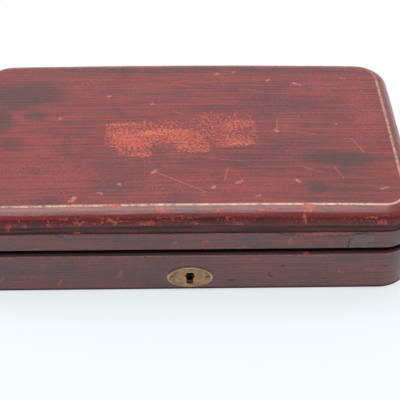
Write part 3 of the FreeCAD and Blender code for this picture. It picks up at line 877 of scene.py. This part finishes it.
@dataclass
class LidCover:
    """Leather over the crowned top and bullnosed shoulder of the lid. Sizes in millimetres."""

    marks: tuple[Mark, ...]
    half: tuple[float, float] = (118.0, FRONT)
    corner: float = 18.5
    corner_segments: int = 18
    crease: float = 38.8
    widest: float = 42.8
    apex: float = 53.4
    crown_along: float = 1.3
    crown_across: float = 1.2
    shoulder: float = 8.0
    undercut: float = 14.0
    skirt_shares: tuple[float, ...] = (0.35, 0.65, 0.88, 1.0)
    tuck: float = 0.7
    tuck_rise: float = 0.05
    thickness: float = 0.95
    rings: int = 11
    cell: tuple[float, float] = (1.7, 2.6)

    def plan(self, x: float, y: float) -> tuple[float, float, float]:
        """Place a point of the plan against the case's outline.

        Args:
            x: width position.
            y: depth position.

        Returns:
            The inset from the outline and the outward direction.
        """
        qx = abs(x) - (self.half[0] - self.corner)
        qy = abs(y) - (self.half[1] - self.corner)
        sx, sy = math.copysign(1.0, x), math.copysign(1.0, y)
        if qx > 0.0 and qy > 0.0:
            far = math.hypot(qx, qy)
            return self.corner - far, sx * qx / far, sy * qy / far
        if qx > qy:
            return self.corner - qx, sx, 0.0
        return self.corner - qy, 0.0, sy

    def crown(self, x: float, y: float) -> float:
        """Return the height of the crowned top over a point of the plan."""
        fall = self.crown_along * (x / self.half[0]) ** 2
        return self.apex - fall - self.crown_across * (y / self.half[1]) ** 2

    def build(self) -> bpy.types.Object:
        """Model the skin.

        Returns:
            The finished object, without a material.
        """
        insets = [self.shoulder * (1.0 - math.cos(0.5 * math.pi * index / self.rings))
                  for index in range(self.rings + 1)]
        mesh = rounded_plan(self.half, self.corner, self.corner_segments)
        divide_plan(mesh, [after - before for before, after in zip(insets, insets[1:])], self.half, self.cell)
        names = [kind.value for kind in MarkKind] + ["edge", "gilt"]
        layers = {name: mesh.verts.layers.float.new(name) for name in names}
        row = mesh.verts.layers.int.new("row")
        flat_u = mesh.verts.layers.float.new("flat_u")
        flat_v = mesh.verts.layers.float.new("flat_v")
        skin = mesh.loops.layers.uv.new("skin")
        skirt = self._skirt(mesh, row)
        for vert in mesh.verts:
            u, v, edge = self._raise(vert, skirt.get(vert[row]))
            vert[flat_u], vert[flat_v], vert[layers["edge"]] = u, v, edge
            for kind in MarkKind:
                levels = [mark.value(u, v) for mark in self.marks if mark.kind is kind]
                vert[layers[kind.value]] = max(levels)
            vert[layers["gilt"]] = self._gilt_left(u, v)
            self._age(vert, u, v, edge, vert[layers["bare"]])
        for face in mesh.faces:
            face.smooth = True
            for loop in face.loops:
                loop[skin].uv = (loop.vert[flat_u] * MM, loop.vert[flat_v] * MM)
        bmesh.ops.scale(mesh, vec=(MM, MM, MM), verts=mesh.verts)
        bmesh.ops.recalc_face_normals(mesh, faces=mesh.faces)
        if max(mesh.faces, key=lambda face: face.calc_center_median().z).normal.z < 0.0:
            bmesh.ops.reverse_faces(mesh, faces=mesh.faces)
        cover = to_object(mesh, "lid_cover")
        thicken(cover, self.thickness)
        return cover

    def _skirt(self, mesh: bmesh.types.BMesh, row: Any) -> dict[int, tuple[float, float]]:
        """Extrude the outline once for every row down to the crease and in under it.

        Args:
            mesh: the flat plan.
            row: the layer that numbers the skirt's rows.

        Returns:
            Level and inset of every row.
        """
        rows: dict[int, tuple[float, float]] = {1: (self.widest, 0.0)}
        for number, share in enumerate(self.skirt_shares, 2):
            drop = (self.widest - self.crease) * share
            rows[number] = (self.widest - drop, self.undercut - math.sqrt(self.undercut ** 2 - drop ** 2))
        last = len(rows)
        rows[last + 1] = (self.crease + self.tuck_rise, rows[last][1] + self.tuck)
        for number in rows:
            edges = [edge for edge in mesh.edges if edge.is_boundary]
            for vert in extruded(mesh, edges):
                vert[row] = number
        return rows

    def _raise(self, vert: bmesh.types.BMVert, skirt: Optional[tuple[float, float]]) -> Triple:
        """Lift a point of the plan onto the lid's form.

        Args:
            vert: the point.
            skirt: level and inset for a point of the skirt.

        Returns:
            The point's place on the flattened skin, and its way down from the shoulder's start.
        """
        x, y = vert.co.x, vert.co.y
        inset, nx, ny = self.plan(x, y)
        if inset >= self.shoulder:
            vert.co.z = self.crown(x, y)
            return x, y, self.shoulder - inset
        reach = self.shoulder - inset
        sx, sy = x - nx * reach, y - ny * reach
        angle = math.acos(min(1.0, reach / self.shoulder))
        arc = self.shoulder * (0.5 * math.pi - angle)
        level = self.crown(sx, sy) - self.shoulder * (1.0 - math.sin(angle))
        if skirt is not None:
            arc += level - skirt[0]
            level = skirt[0]
            vert.co.x, vert.co.y = x - nx * skirt[1], y - ny * skirt[1]
        vert.co.z = level
        return sx + nx * arc, sy + ny * arc, arc

    @staticmethod
    def _gilt_left(u: float, v: float) -> float:
        """Return how much of the gilt line is left at a point: most at the front and the right end.

        Args:
            u: the point's place across the skin.
            v: the point's place down the skin.

        Returns:
            The share that is left.
        """
        front = (0.38 + 0.22 * smooth(-60.0, 80.0, u)) * smooth(-20.0, -60.0, v)
        right = 0.42 * smooth(85.0, 110.0, u) * smooth(75.0, 40.0, v)
        return max(0.04, front, right)

    def _age(self, vert: bmesh.types.BMVert, u: float, v: float, edge: float, bare: float) -> None:
        """Move a point as years of use have: slow dents, a wavy shoulder and chips.

        Args:
            vert: the point.
            u: its place across the skin.
            v: its place down the skin.
            edge: its way down from the shoulder's start.
            bare: how far its leather is worn away.
        """
        place = Vector((u, v, 0.0))
        dent = 0.16 * noise.noise(place * 0.035) + 0.05 * noise.noise(place * 0.16)
        vert.co.z += dent if edge < 4.0 else 0.35 * dent
        if edge > 2.0:
            _, nx, ny = self.plan(vert.co.x, vert.co.y)
            push = 0.10 * noise.noise(place * 0.11) + 0.05 * noise.noise(place * 0.4)
            push -= 0.22 * bare * (0.6 + 0.6 * noise.noise(place * 0.6))
            vert.co.x += nx * push
            vert.co.y += ny * push


@dataclass
class Pad:
    """A stuffed cushion that fills a rounded space. Sizes in millimetres."""

    name: str
    half: tuple[float, float]
    corner: float
    seat: float
    upward: bool
    foot: float = 0.6
    edge: float = 4.3
    crown: float = 1.9
    rounding: float = 4.0
    pull: float = 0.5
    wrinkle: float = 0.35
    gathers: tuple[float, float] = (26.0, 2.0)
    rings: tuple[float, ...] = (0.3, 0.5, 0.8, 1.2, 1.8, 2.4)
    cell: tuple[float, float] = (4.0, 4.0)
    corner_segments: int = 8
    most_sides: int = 20

    def build(self) -> bpy.types.Object:
        """Model the cushion.

        Returns:
            The finished object, without a material.
        """
        mesh = rounded_plan(self.half, self.corner, self.corner_segments)
        divide_plan(mesh, self.rings, self.half, self.cell)
        rim = [edge for edge in mesh.edges if edge.is_boundary]
        for vert in mesh.verts:
            self._swell(vert)
        for vert in extruded(mesh, rim):
            vert.co.z = 0.0
        bmesh.ops.holes_fill(mesh, edges=[edge for edge in mesh.edges if edge.is_boundary], sides=0)
        turn = Matrix.Identity(3) if self.upward else Matrix.Diagonal((1.0, 1.0, -1.0))
        for vert in mesh.verts:
            vert.co = (turn @ vert.co + Vector((0.0, 0.0, self.seat))) * MM
        bmesh.ops.recalc_face_normals(mesh, faces=mesh.faces)
        if mesh.calc_volume(signed=True) < 0.0:
            bmesh.ops.reverse_faces(mesh, faces=mesh.faces)
        for face in mesh.faces:
            face.smooth = len(face.verts) < self.most_sides
        pad = to_object(mesh, self.name)
        finer = pad.modifiers.new("finer", "SUBSURF")
        finer.levels = finer.render_levels = 1
        return pad

    def _swell(self, vert: bmesh.types.BMVert) -> None:
        """Raise a point of the cushion's top to its crowned, slightly gathered form.

        Args:
            vert: the point.
        """
        x, y = vert.co.x, vert.co.y
        gap_x, gap_y = self.half[0] - abs(x), self.half[1] - abs(y)
        gap = min(gap_x, gap_y)
        qx, qy = self.corner - gap_x, self.corner - gap_y
        if qx > 0.0 and qy > 0.0:
            gap = self.corner - math.hypot(qx, qy)
        rise = math.sqrt(max(0.0, 1.0 - (1.0 - min(1.0, gap / self.rounding)) ** 2))
        bulge = 1.0 - max((x / self.half[0]) ** 2, (y / self.half[1]) ** 2)
        near = smooth(self.gathers[0], self.gathers[1], gap)
        along, side = (x, 3.0) if gap_y < gap_x else (y, 9.0)
        fold = noise.noise(Vector((along * 0.16, gap * 0.03, side)))
        slow = noise.noise(Vector((x * 0.02, y * 0.02, 5.0)))
        vert.co.z = self.foot + (self.edge - self.foot) * rise + self.crown * bulge
        vert.co.z += self.wrinkle * (near * fold + 0.6 * slow * rise)
        share = self.pull * (1.0 - rise)
        vert.co.x -= math.copysign(share, x) if gap_x < self.corner else 0.0
        vert.co.y -= math.copysign(share, y) if gap_y < self.corner else 0.0


@dataclass
class RepairPatch:
    """Rough patch of leather glued over the lid's band at the front right. Sizes in millimetres."""

    low: tuple[float, float] = (80.8, 28.2)
    high: tuple[float, float] = (95.6, 38.5)
    proud: float = 0.42
    sunk: float = 0.1
    thickness: float = 0.3
    cells: tuple[int, int] = (28, 20)

    def build(self) -> bpy.types.Object:
        """Model the patch.

        Returns:
            The finished object, without a material.
        """
        mesh = bmesh.new()
        bmesh.ops.create_grid(mesh, x_segments=self.cells[0], y_segments=self.cells[1], size=1.0)
        half = [(high - low) / 2.0 for low, high in zip(self.low, self.high)]
        middle = [(high + low) / 2.0 for low, high in zip(self.low, self.high)]
        for vert in mesh.verts:
            u, w = vert.co.x, vert.co.y
            rag = 0.12 * noise.noise(Vector((u * 3.0, w * 3.0, 1.0)))
            rag += 0.07 * noise.noise(Vector((u * 9.0, w * 9.0, 4.0)))
            x = middle[0] + half[0] * u * (0.93 + rag)
            z = middle[1] + half[1] * w * (0.93 + rag)
            rough = 0.75 + 0.5 * noise.noise(Vector((x * 0.7, z * 0.7, 2.0)))
            lift = self.proud * smooth(1.0, 0.86, max(abs(u), abs(w))) * rough
            vert.co = Vector((x, -(FRONT - self.sunk + lift), z)) * MM
        bmesh.ops.recalc_face_normals(mesh, faces=mesh.faces)
        if sum(face.normal.y for face in mesh.faces) > 0.0:
            bmesh.ops.reverse_faces(mesh, faces=mesh.faces)
        for face in mesh.faces:
            face.smooth = True
        patch = to_object(mesh, "band_repair_patch")
        thicken(patch, self.thickness)
        return patch


def extruded(mesh: bmesh.types.BMesh, edges: Sequence[bmesh.types.BMEdge]) -> list[bmesh.types.BMVert]:
    """Extrude edges in place.

    Args:
        mesh: the mesh.
        edges: the edges to extrude.

    Returns:
        The new points.
    """
    made = bmesh.ops.extrude_edge_only(mesh, edges=edges)["geom"]
    return [item for item in made if isinstance(item, bmesh.types.BMVert)]


def to_object(mesh: bmesh.types.BMesh, name: str) -> bpy.types.Object:
    """Turn a mesh into an object of the scene.

    Args:
        mesh: the finished mesh, freed here.
        name: the object's name.

    Returns:
        The linked object, at the origin.
    """
    data = bpy.data.meshes.new(name)
    mesh.to_mesh(data)
    mesh.free()
    return linked(name, data)


def linked(name: str, data: bpy.types.ID) -> bpy.types.Object:
    """Return a new object of the scene, with a name and its data."""
    made = bpy.data.objects.new(name, data)
    bpy.context.scene.collection.objects.link(made)
    return made


def thicken(target: bpy.types.Object, thickness: float) -> None:
    """Give a skin its thickness inward, in millimetres."""
    shell = target.modifiers.new("thickness", "SOLIDIFY")
    shell.thickness = thickness * MM
    shell.offset = -1.0


def dress(target: bpy.types.Object, material: bpy.types.Material) -> None:
    """Give an object one material in all of its slots.

    Args:
        target: the object.
        material: the finish.
    """
    if not target.material_slots:
        target.data.materials.append(material)
    for slot in target.material_slots:
        slot.material = material


@dataclass
class Studio:
    """Camera, light and pale floor. Lengths in metres, angles in degrees."""

    focal_pixels: float = 1229.416
    distance: float = 0.66643
    yaw: float = -2.46983
    elevation: float = 38.87268
    roll: float = 1.096
    target: Triple = (0.006383, -0.028175, 0.0263)
    clip: tuple[float, float] = (0.01, 50.0)
    key_power: float = 10.0
    key_size: tuple[float, float] = (0.9, 1.2)
    key_place: Triple = (-0.10, -0.04, 1.15)
    sky: float = 0.68
    sky_colour: Colour = (0.97, 0.985, 1.0)
    shade: float = 0.10
    shade_rise: float = 52.0
    floor_half: float = 3.0
    floor_colour: Colour = (0.72, 0.90, 0.96)
    glow_colour: Colour = (0.975, 0.985, 1.0)

    def camera(self) -> bpy.types.Object:
        """Place the camera at the photograph's angle.

        Returns:
            The camera object.
        """
        yaw, rise, roll = (math.radians(value) for value in (self.yaw, self.elevation, self.roll))
        back = Vector((math.sin(yaw) * math.cos(rise), -math.cos(yaw) * math.cos(rise), math.sin(rise)))
        right = (-back).cross(Vector((0.0, 0.0, 1.0))).normalized()
        up = right.cross(-back)
        side = right * math.cos(roll) + up * math.sin(roll)
        top = up * math.cos(roll) - right * math.sin(roll)
        data = bpy.data.cameras.new("camera")
        data.sensor_width = SENSOR
        data.lens = self.focal_pixels / IMAGE_SIZE * SENSOR
        data.clip_start, data.clip_end = self.clip
        made = linked("camera", data)
        turn = Matrix((side, top, back)).transposed().to_4x4()
        made.matrix_world = Matrix.Translation(Vector(self.target) + back * self.distance) @ turn
        bpy.context.scene.camera = made
        return made

    def lamp(self) -> bpy.types.Object:
        """Hang a soft oblong lamp over the case.

        Returns:
            The lamp object.
        """
        data = bpy.data.lights.new("key_lamp", "AREA")
        data.shape = "RECTANGLE"
        data.size, data.size_y = self.key_size
        data.energy = self.key_power
        made = linked("key_lamp", data)
        made.location = self.key_place
        return made

    def world(self) -> None:
        """Light the scene from above and behind, with a darker room in front, and show white behind it."""
        world = bpy.data.worlds.new("studio")
        bpy.context.scene.world = world
        world.use_nodes = True
        graph = Graph(world.node_tree)
        background = world.node_tree.nodes["Background"]
        rise = math.radians(self.shade_rise)
        toward = (0.0, math.sin(rise), math.cos(rise))
        facing = graph.vector("DOT_PRODUCT", graph.node("TexCoord").outputs["Generated"], toward)
        room = graph.step(facing.outputs["Value"], -0.22, 0.18, self.shade, self.sky)
        seen = graph.node("LightPath").outputs["Is Camera Ray"]
        background.inputs["Color"].default_value = rgba(self.sky_colour)
        graph.feed(background.inputs["Strength"], graph.most(seen, room))

    def floor(self) -> bpy.types.Object:
        """Lay the pale floor, which looks white behind the case and takes soft shade in front of it.

        Returns:
            The floor object.
        """
        mesh = bmesh.new()
        bmesh.ops.create_grid(mesh, x_segments=1, y_segments=1, size=self.floor_half)
        made = to_object(mesh, "floor")
        material, graph, shader = new_material("pale_floor")
        shader.inputs["Base Color"].default_value = rgba(self.floor_colour)
        shader.inputs["Roughness"].default_value = 0.6
        glow = graph.node("Emission")
        glow.inputs["Color"].default_value = rgba(self.glow_colour)
        glow.inputs["Strength"].default_value = 1.0
        depth = graph.split(graph.node("TexCoord").outputs["Object"])["Y"]
        rays = graph.node("LightPath").outputs
        seen = graph.most(rays["Is Camera Ray"], rays["Is Glossy Ray"])
        mix = graph.node("MixShader")
        graph.feed(mix.inputs[0], graph.times(graph.step(depth, -0.10, 0.05, 0.60, 1.0), seen))
        graph.feed(mix.inputs[1], shader.outputs[0])
        graph.feed(mix.inputs[2], glow.outputs[0])
        graph.feed(graph.tree.nodes["Material Output"].inputs["Surface"], mix.outputs[0])
        dress(made, material)
        return made

    def build(self) -> None:
        """Set up the whole studio."""
        bpy.context.scene.view_settings.view_transform = "Standard"
        self.camera()
        self.lamp()
        self.world()
        self.floor()


def marks(kind: MarkKind, rows: Iterable[Sequence[float]]) -> tuple[Mark, ...]:
    """Return marks of one kind on the lid's skin.

    Args:
        kind: the kind of wear.
        rows: across, down, reach along and aside, level, turn, power and softness of each mark.

    Returns:
        The marks.
    """
    return tuple(Mark(kind, row[0], row[1], (row[2], row[3]), *row[4:]) for row in rows)


LID_MARKS: tuple[Mark, ...] = (
    *marks(MarkKind.BARE, (
        (-23, -1.5, 22, 9.5, 0.5, 1, 8, 0.06), (-27, -9, 17, 8, 0.72, 8, 3, 0.45),
        (-29, -18.5, 10, 5, 0.6, -4, 5, 0.15), (-2, -6.5, 14, 6.5, 0.62, -5, 3, 0.35),
        (3, -17, 10, 5, 0.62, 4, 5, 0.15), (-14, -15, 7, 6, 0.34, 0, 3, 0.3), (5, 2, 8, 9, 0.38, 0, 5, 0.1),
        (22, 0.5, 16, 16, 0.46, 2, 9, 0.05), (25, -12, 13, 4, 0.64, 3, 4, 0.35),
        (-20, -72.8, 100, 3, 0.27, 0, 2, 0.5), (92, -72.8, 20, 3, 0.3, 0, 2, 0.5),
    )),
    *marks(MarkKind.STAIN, (
        (-18.5, -12, 4, 3.5, 1, 0, 2, 0.3), (-91, 35, 24, 14, 0.78, 12, 2, 0.6),
        (-104, 10, 10, 13, 0.72, 0, 2, 0.6), (-84, 14, 7, 5, 0.66, 0, 2, 0.6),
        (-95, -12, 8, 6, 0.6, 0, 2, 0.6), (78, -26.5, 22, 6.5, 0.95, -3, 2, 0.6),
        (66, -51, 6, 5, 0.85, 0, 2, 0.6), (45, -20, 40, 16, 0.42, 0, 2, 0.8),
        (52, 22, 30, 16, 0.42, 0, 2, 0.8), (-25, -30, 40, 10, 0.36, 0, 2, 0.8),
        (80, -50, 34, 10, 0.4, 0, 2, 0.8), (0, 60, 110, 4, 0.55, 0, 2, 0.6),
    )),
    *marks(MarkKind.RUB, (
        (99, 20, 12, 36, 0.5, 0, 2, 0.6), (84, 42, 28, 12, 0.46, 0, 2, 0.6),
        (-70, 46, 30, 10, 0.48, 0, 2, 0.6), (20, 50, 40, 8, 0.42, 0, 2, 0.6),
        (-75, -35, 40, 20, 0.4, 0, 2, 0.6), (20, -50, 60, 9, 0.42, 0, 2, 0.6),
    )),
)


def on_skin(rows: Iterable[ScarRow]) -> tuple[Scar, ...]:
    """Return scars of the lid's skin, with scratches fainter than chips.

    Args:
        rows: across and down of both ends, and the half width, of each scar.

    Returns:
        The scars, on the skin's flat coordinates.
    """
    return tuple(Scar((a, 0.0, b), (c, 0.0, d), width, 1.0 if width > SCRATCH_WIDTH else 0.55)
                 for a, b, c, d, width in rows)


def on_front(rows: Iterable[ScarRow]) -> tuple[Scar, ...]:
    """Return scars, dark marks and painted shadow lines of the front wall.

    Args:
        rows: across and height of both ends, and the half width, of each scar.

    Returns:
        The scars, on object coordinates.
    """
    return tuple(Scar((a, -FRONT, b), (c, -FRONT, d), width) for a, b, c, d, width in rows)


LID_RAW = on_skin((
    (-92, -76, -91.5, -74.5, 1.2), (-84, -75, -83, -74.5, 0.8), (-57.5, -73.5, -56, -74.5, 1),
    (-54.5, -73, -54, -73.5, 0.7), (-41, -72, -38, -73.5, 1), (-24.5, -74.5, -21, -74, 1.1),
    (-19.5, -73, -19, -74.5, 0.7), (-58.5, -80, -56.5, -80.5, 0.9), (-41.5, -64.5, -36.5, -64.5, 1),
    (-16.5, -67, -14, -67, 1.2), (58.5, -66, 61, -66, 2.1), (57.5, -70, 58.5, -74.5, 0.9),
    (14, -67, 17.5, -66.5, 1), (34, -67.5, 44, -67, 0.6), (96, -74, 99, -74.5, 1.2),
    (-72, -74.5, -70.5, -75, 0.8), (2, -74, 3, -74.5, 0.7), (22, -75, 26, -75, 0.6),
))
LID_PALE = on_skin((
    (-18, -37.5, 8, -54, 0.32), (-17, -36, -19.5, -38.5, 0.7), (18, -45.5, 20.5, -34.5, 0.35),
    (12, -51, 12.5, -50, 0.95), (24.5, -47, 27.5, -45.5, 0.8), (89, -9, 94, -21, 0.32),
    (76.5, -33, 80.5, -43, 0.35), (60.5, -34, 69.5, -38.5, 0.3), (50, 10, 49, 0, 0.3),
    (48.5, -1.5, 49, -2, 1), (-44, 32.5, -43.5, 33, 0.95), (18, 55.5, 19, 56, 1.1),
    (47.5, 49, 48, 49.5, 1), (-19.5, 24, -19, 25, 0.7), (82, 5, 82.5, 5.5, 0.8),
    (-36.5, -47, -35.5, -48, 0.85), (-60.5, -60.5, -59, -58, 1.2), (56, -45, 57, -46, 0.85),
    (-70, 11, -69.5, 12, 0.6), (8, -26, 30, -29, 0.22), (52, -2, 70, -4.5, 0.25),
    (-8, 18, -2, 14, 0.22), (30, 40, 44, 37, 0.22), (62, 46, 66, 44, 0.6),
    (28, 58, 29, 58.5, 0.8), (-5, 44, 3, 42, 0.22), (90, 52, 93, 51, 0.5),
    (34, -58, 36, -57, 0.6), (-47, -54, -44.5, -55, 0.5), (99, -52, 103, -50, 0.5),
))
BAND_RAW = on_front((
    (51, 31.5, 51.5, 34.5, 1), (54, 37, 83, 38, 0.75), (62, 38, 78, 38, 0.9),
    (7, 33, 8.5, 33.5, 0.9), (24, 29.5, 30, 29.5, 0.5), (-101, 32.5, -98, 33.5, 0.6),
    (-9, 32, -7.5, 32.5, 0.7), (-79, 29.5, -77, 29.5, 0.5),
))
# painted shadow: lines under the lifted edge along the top of the band and round the repair patch
BAND_SHADOW_LINES = on_front((
    (81.5, 28.5, 81.5, 32.5, 0.5), (81.5, 32.5, 83.5, 37.5, 0.55), (83.5, 37.5, 90, 38.5, 0.4),
    (-68, 38, -65.5, 37.5, 0.5), (81.5, 28.5, 95, 28.5, 0.4),
    (44, 38.5, 56, 37, 0.4), (56, 37, 70, 36.5, 0.4), (70, 36.5, 82, 37, 0.35),
))
BASE_RAW = on_front((
    (-76, 17.5, -75, 18.5, 0.8), (-37, 9.5, -36, 14, 0.95), (-68.5, 5, -67.5, 7.5, 1),
    (59.5, 24.5, 60.5, 25, 0.9), (-88, 10, -80, 10.5, 0.5), (78, 11.5, 80.5, 12, 0.8),
    (92, 13.5, 97, 13.5, 0.6), (-100, 6.5, -97, 9.5, 0.7), (30, 21, 36, 21, 0.4),
))
BASE_DARK = on_front((
    (20.5, 7, 22, 6.5, 0.8), (41.5, 10.5, 43, 9, 0.5), (48, 16.5, 49, 16, 0.7),
    (70, 7.5, 71, 7, 0.5), (102, 15.5, 106, 16, 0.6),
))


class JewelleryCase:
    """The whole case: finishes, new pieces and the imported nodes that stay."""

    def __init__(self) -> None:
        """Prepare the shared effects and every finish."""
        effects = SharedEffects()
        tones = LeatherTones()
        worn = LeatherTones(deep=(0.150, 0.072, 0.075), red=(0.250, 0.112, 0.112),
                            soot=(0.095, 0.046, 0.046), dust=(0.330, 0.190, 0.190))
        finishes: dict[str, Any] = {
            "lid_leather": LidLeather(tones, LID_RAW, LID_PALE),
            # painted shade: the band's lower edge and the base's upper edge where they meet across the gap,
            # and the base's foot where it turns under; the band and the patch also take the painted shadow
            # lines
            "band_leather": WallLeather("band_leather", tones, 2.2, ((38.6, 0.30),), ((28.0, 29.0),),
                                        BAND_RAW, BAND_SHADOW_LINES),
            "patch_leather": WallLeather("patch_leather", worn, 1.3, (), shadow_and_dark_marks=BAND_SHADOW_LINES,
                                         grain_depth=0.0012),
            "base_leather": WallLeather("base_leather", tones, 2.1, ((23.6, 0.50),),
                                        ((1.2, 2.6), (24.7, 23.9)), BASE_RAW, BASE_DARK),
            "bottom_leather": WallLeather("bottom_leather", tones, 2.6, ((0.0, 0.2),)),
            "brass": AgedMetal("brass", (0.56, 0.40, 0.17), (0.20, 0.125, 0.055), (0.34, 0.55)),
            "plate_brass": AgedMetal("plate_brass", (0.42, 0.27, 0.155), (0.24, 0.150, 0.090), (0.38, 0.52),
                                     (0.34, 0.66), (9.3, 12.0, 6.8)),
            "steel": AgedMetal("steel", (0.42, 0.41, 0.40), (0.20, 0.18, 0.165), (0.30, 0.5)),
            # a darker copy of the steel: painted shade for the steel parts that sit in the gap between lid
            # and base
            "shaded_steel": AgedMetal("shaded_steel", (0.10, 0.09, 0.08), (0.05, 0.042, 0.036), (0.40, 0.6)),
            "spring_steel": AgedMetal("spring_steel", (0.16, 0.18, 0.24), (0.10, 0.10, 0.12), (0.25, 0.4)),
            "pine": BareWood(),
            "velvet": Cloth("velvet", (0.12, 0.009, 0.020), (0.20, 0.026, 0.038), (0.045, 0.003, 0.007),
                            (0.9, 0.35, 0.40), 0.9, 0.0003),
            "silk": Cloth("silk", (0.50, 0.30, 0.19), (0.62, 0.44, 0.31), (0.36, 0.19, 0.11),
                          (1.0, 0.85, 0.75), 0.42, 0.00012),
        }
        self.materials = {name: finish.material(effects) for name, finish in finishes.items()}

    def dress_nodes(self) -> None:
        """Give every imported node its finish, which is brass where no other is named."""
        chosen = {
            "base_side_leather": "base_leather",
            "base_bottom_leather": "bottom_leather",
            "lid_band_leather": "band_leather",
            "escutcheon": "plate_brass",
            "escutcheon_pins": "plate_brass",
            "lock_spring": "spring_steel",
            "base_lining": "velvet",
            "lid_lining": "silk",
        }
        plain = ("lock_case", "lock_cap", "lock_bolt", "lock_drill_pin")
        # painted shade: the lock's face plate, the catch and their screws sit in the shaded gap and take the
        # darker copy of the steel
        shaded_in_gap = ("lock_face_plate", "lock_screws", "lid_catch", "lid_catch_screws")
        chosen.update(dict.fromkeys(plain, "steel"))
        chosen.update(dict.fromkeys(shaded_in_gap, "shaded_steel"))
        for name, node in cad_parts.items():
            finish = "pine" if name.endswith(("_frame", "_board")) else chosen.get(name, "brass")
            dress(node, self.materials[finish])
            LOG.info("node %s has finish %s", name, finish)

    def add(self, piece: bpy.types.Object, body: Body, finish: str, slot: str,
            *nodes: str) -> bpy.types.Object:
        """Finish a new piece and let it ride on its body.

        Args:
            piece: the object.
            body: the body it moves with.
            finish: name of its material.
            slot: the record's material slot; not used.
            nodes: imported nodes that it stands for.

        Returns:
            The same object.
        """
        dress(piece, self.materials[finish])
        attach(piece, body.value)
        if nodes:
            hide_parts(*nodes)
        LOG.info("piece %s rides on %s", piece.name, body.value)
        return piece

    def build(self) -> None:
        """Build and place every piece."""
        self.dress_nodes()
        self.add(LidCover(marks=LID_MARKS).build(), Body.LID, "lid_leather", "red_leather", "lid_top_leather")
        self.add(RepairPatch().build(), Body.LID, "patch_leather", "red_leather")
        floor_pad = Pad("floor_cushion", (108.1, 61.1), 8.6, seat=3.95, upward=True)
        self.add(floor_pad.build(), Body.BASE, "velvet", "velvet", "base_floor_pad")
        lid_pad = Pad("lid_cushion", (108.9, 61.9), 9.4, seat=44.85, upward=False)
        self.add(lid_pad.build(), Body.LID, "silk", "silk", "lid_pad")


def main() -> None:
    """Build the case and the studio."""
    logging.basicConfig(level=logging.INFO, format="%(message)s")
    JewelleryCase().build()
    Studio().build()
    bpy.context.view_layer.update()


if __name__ == "__main__":
    main()
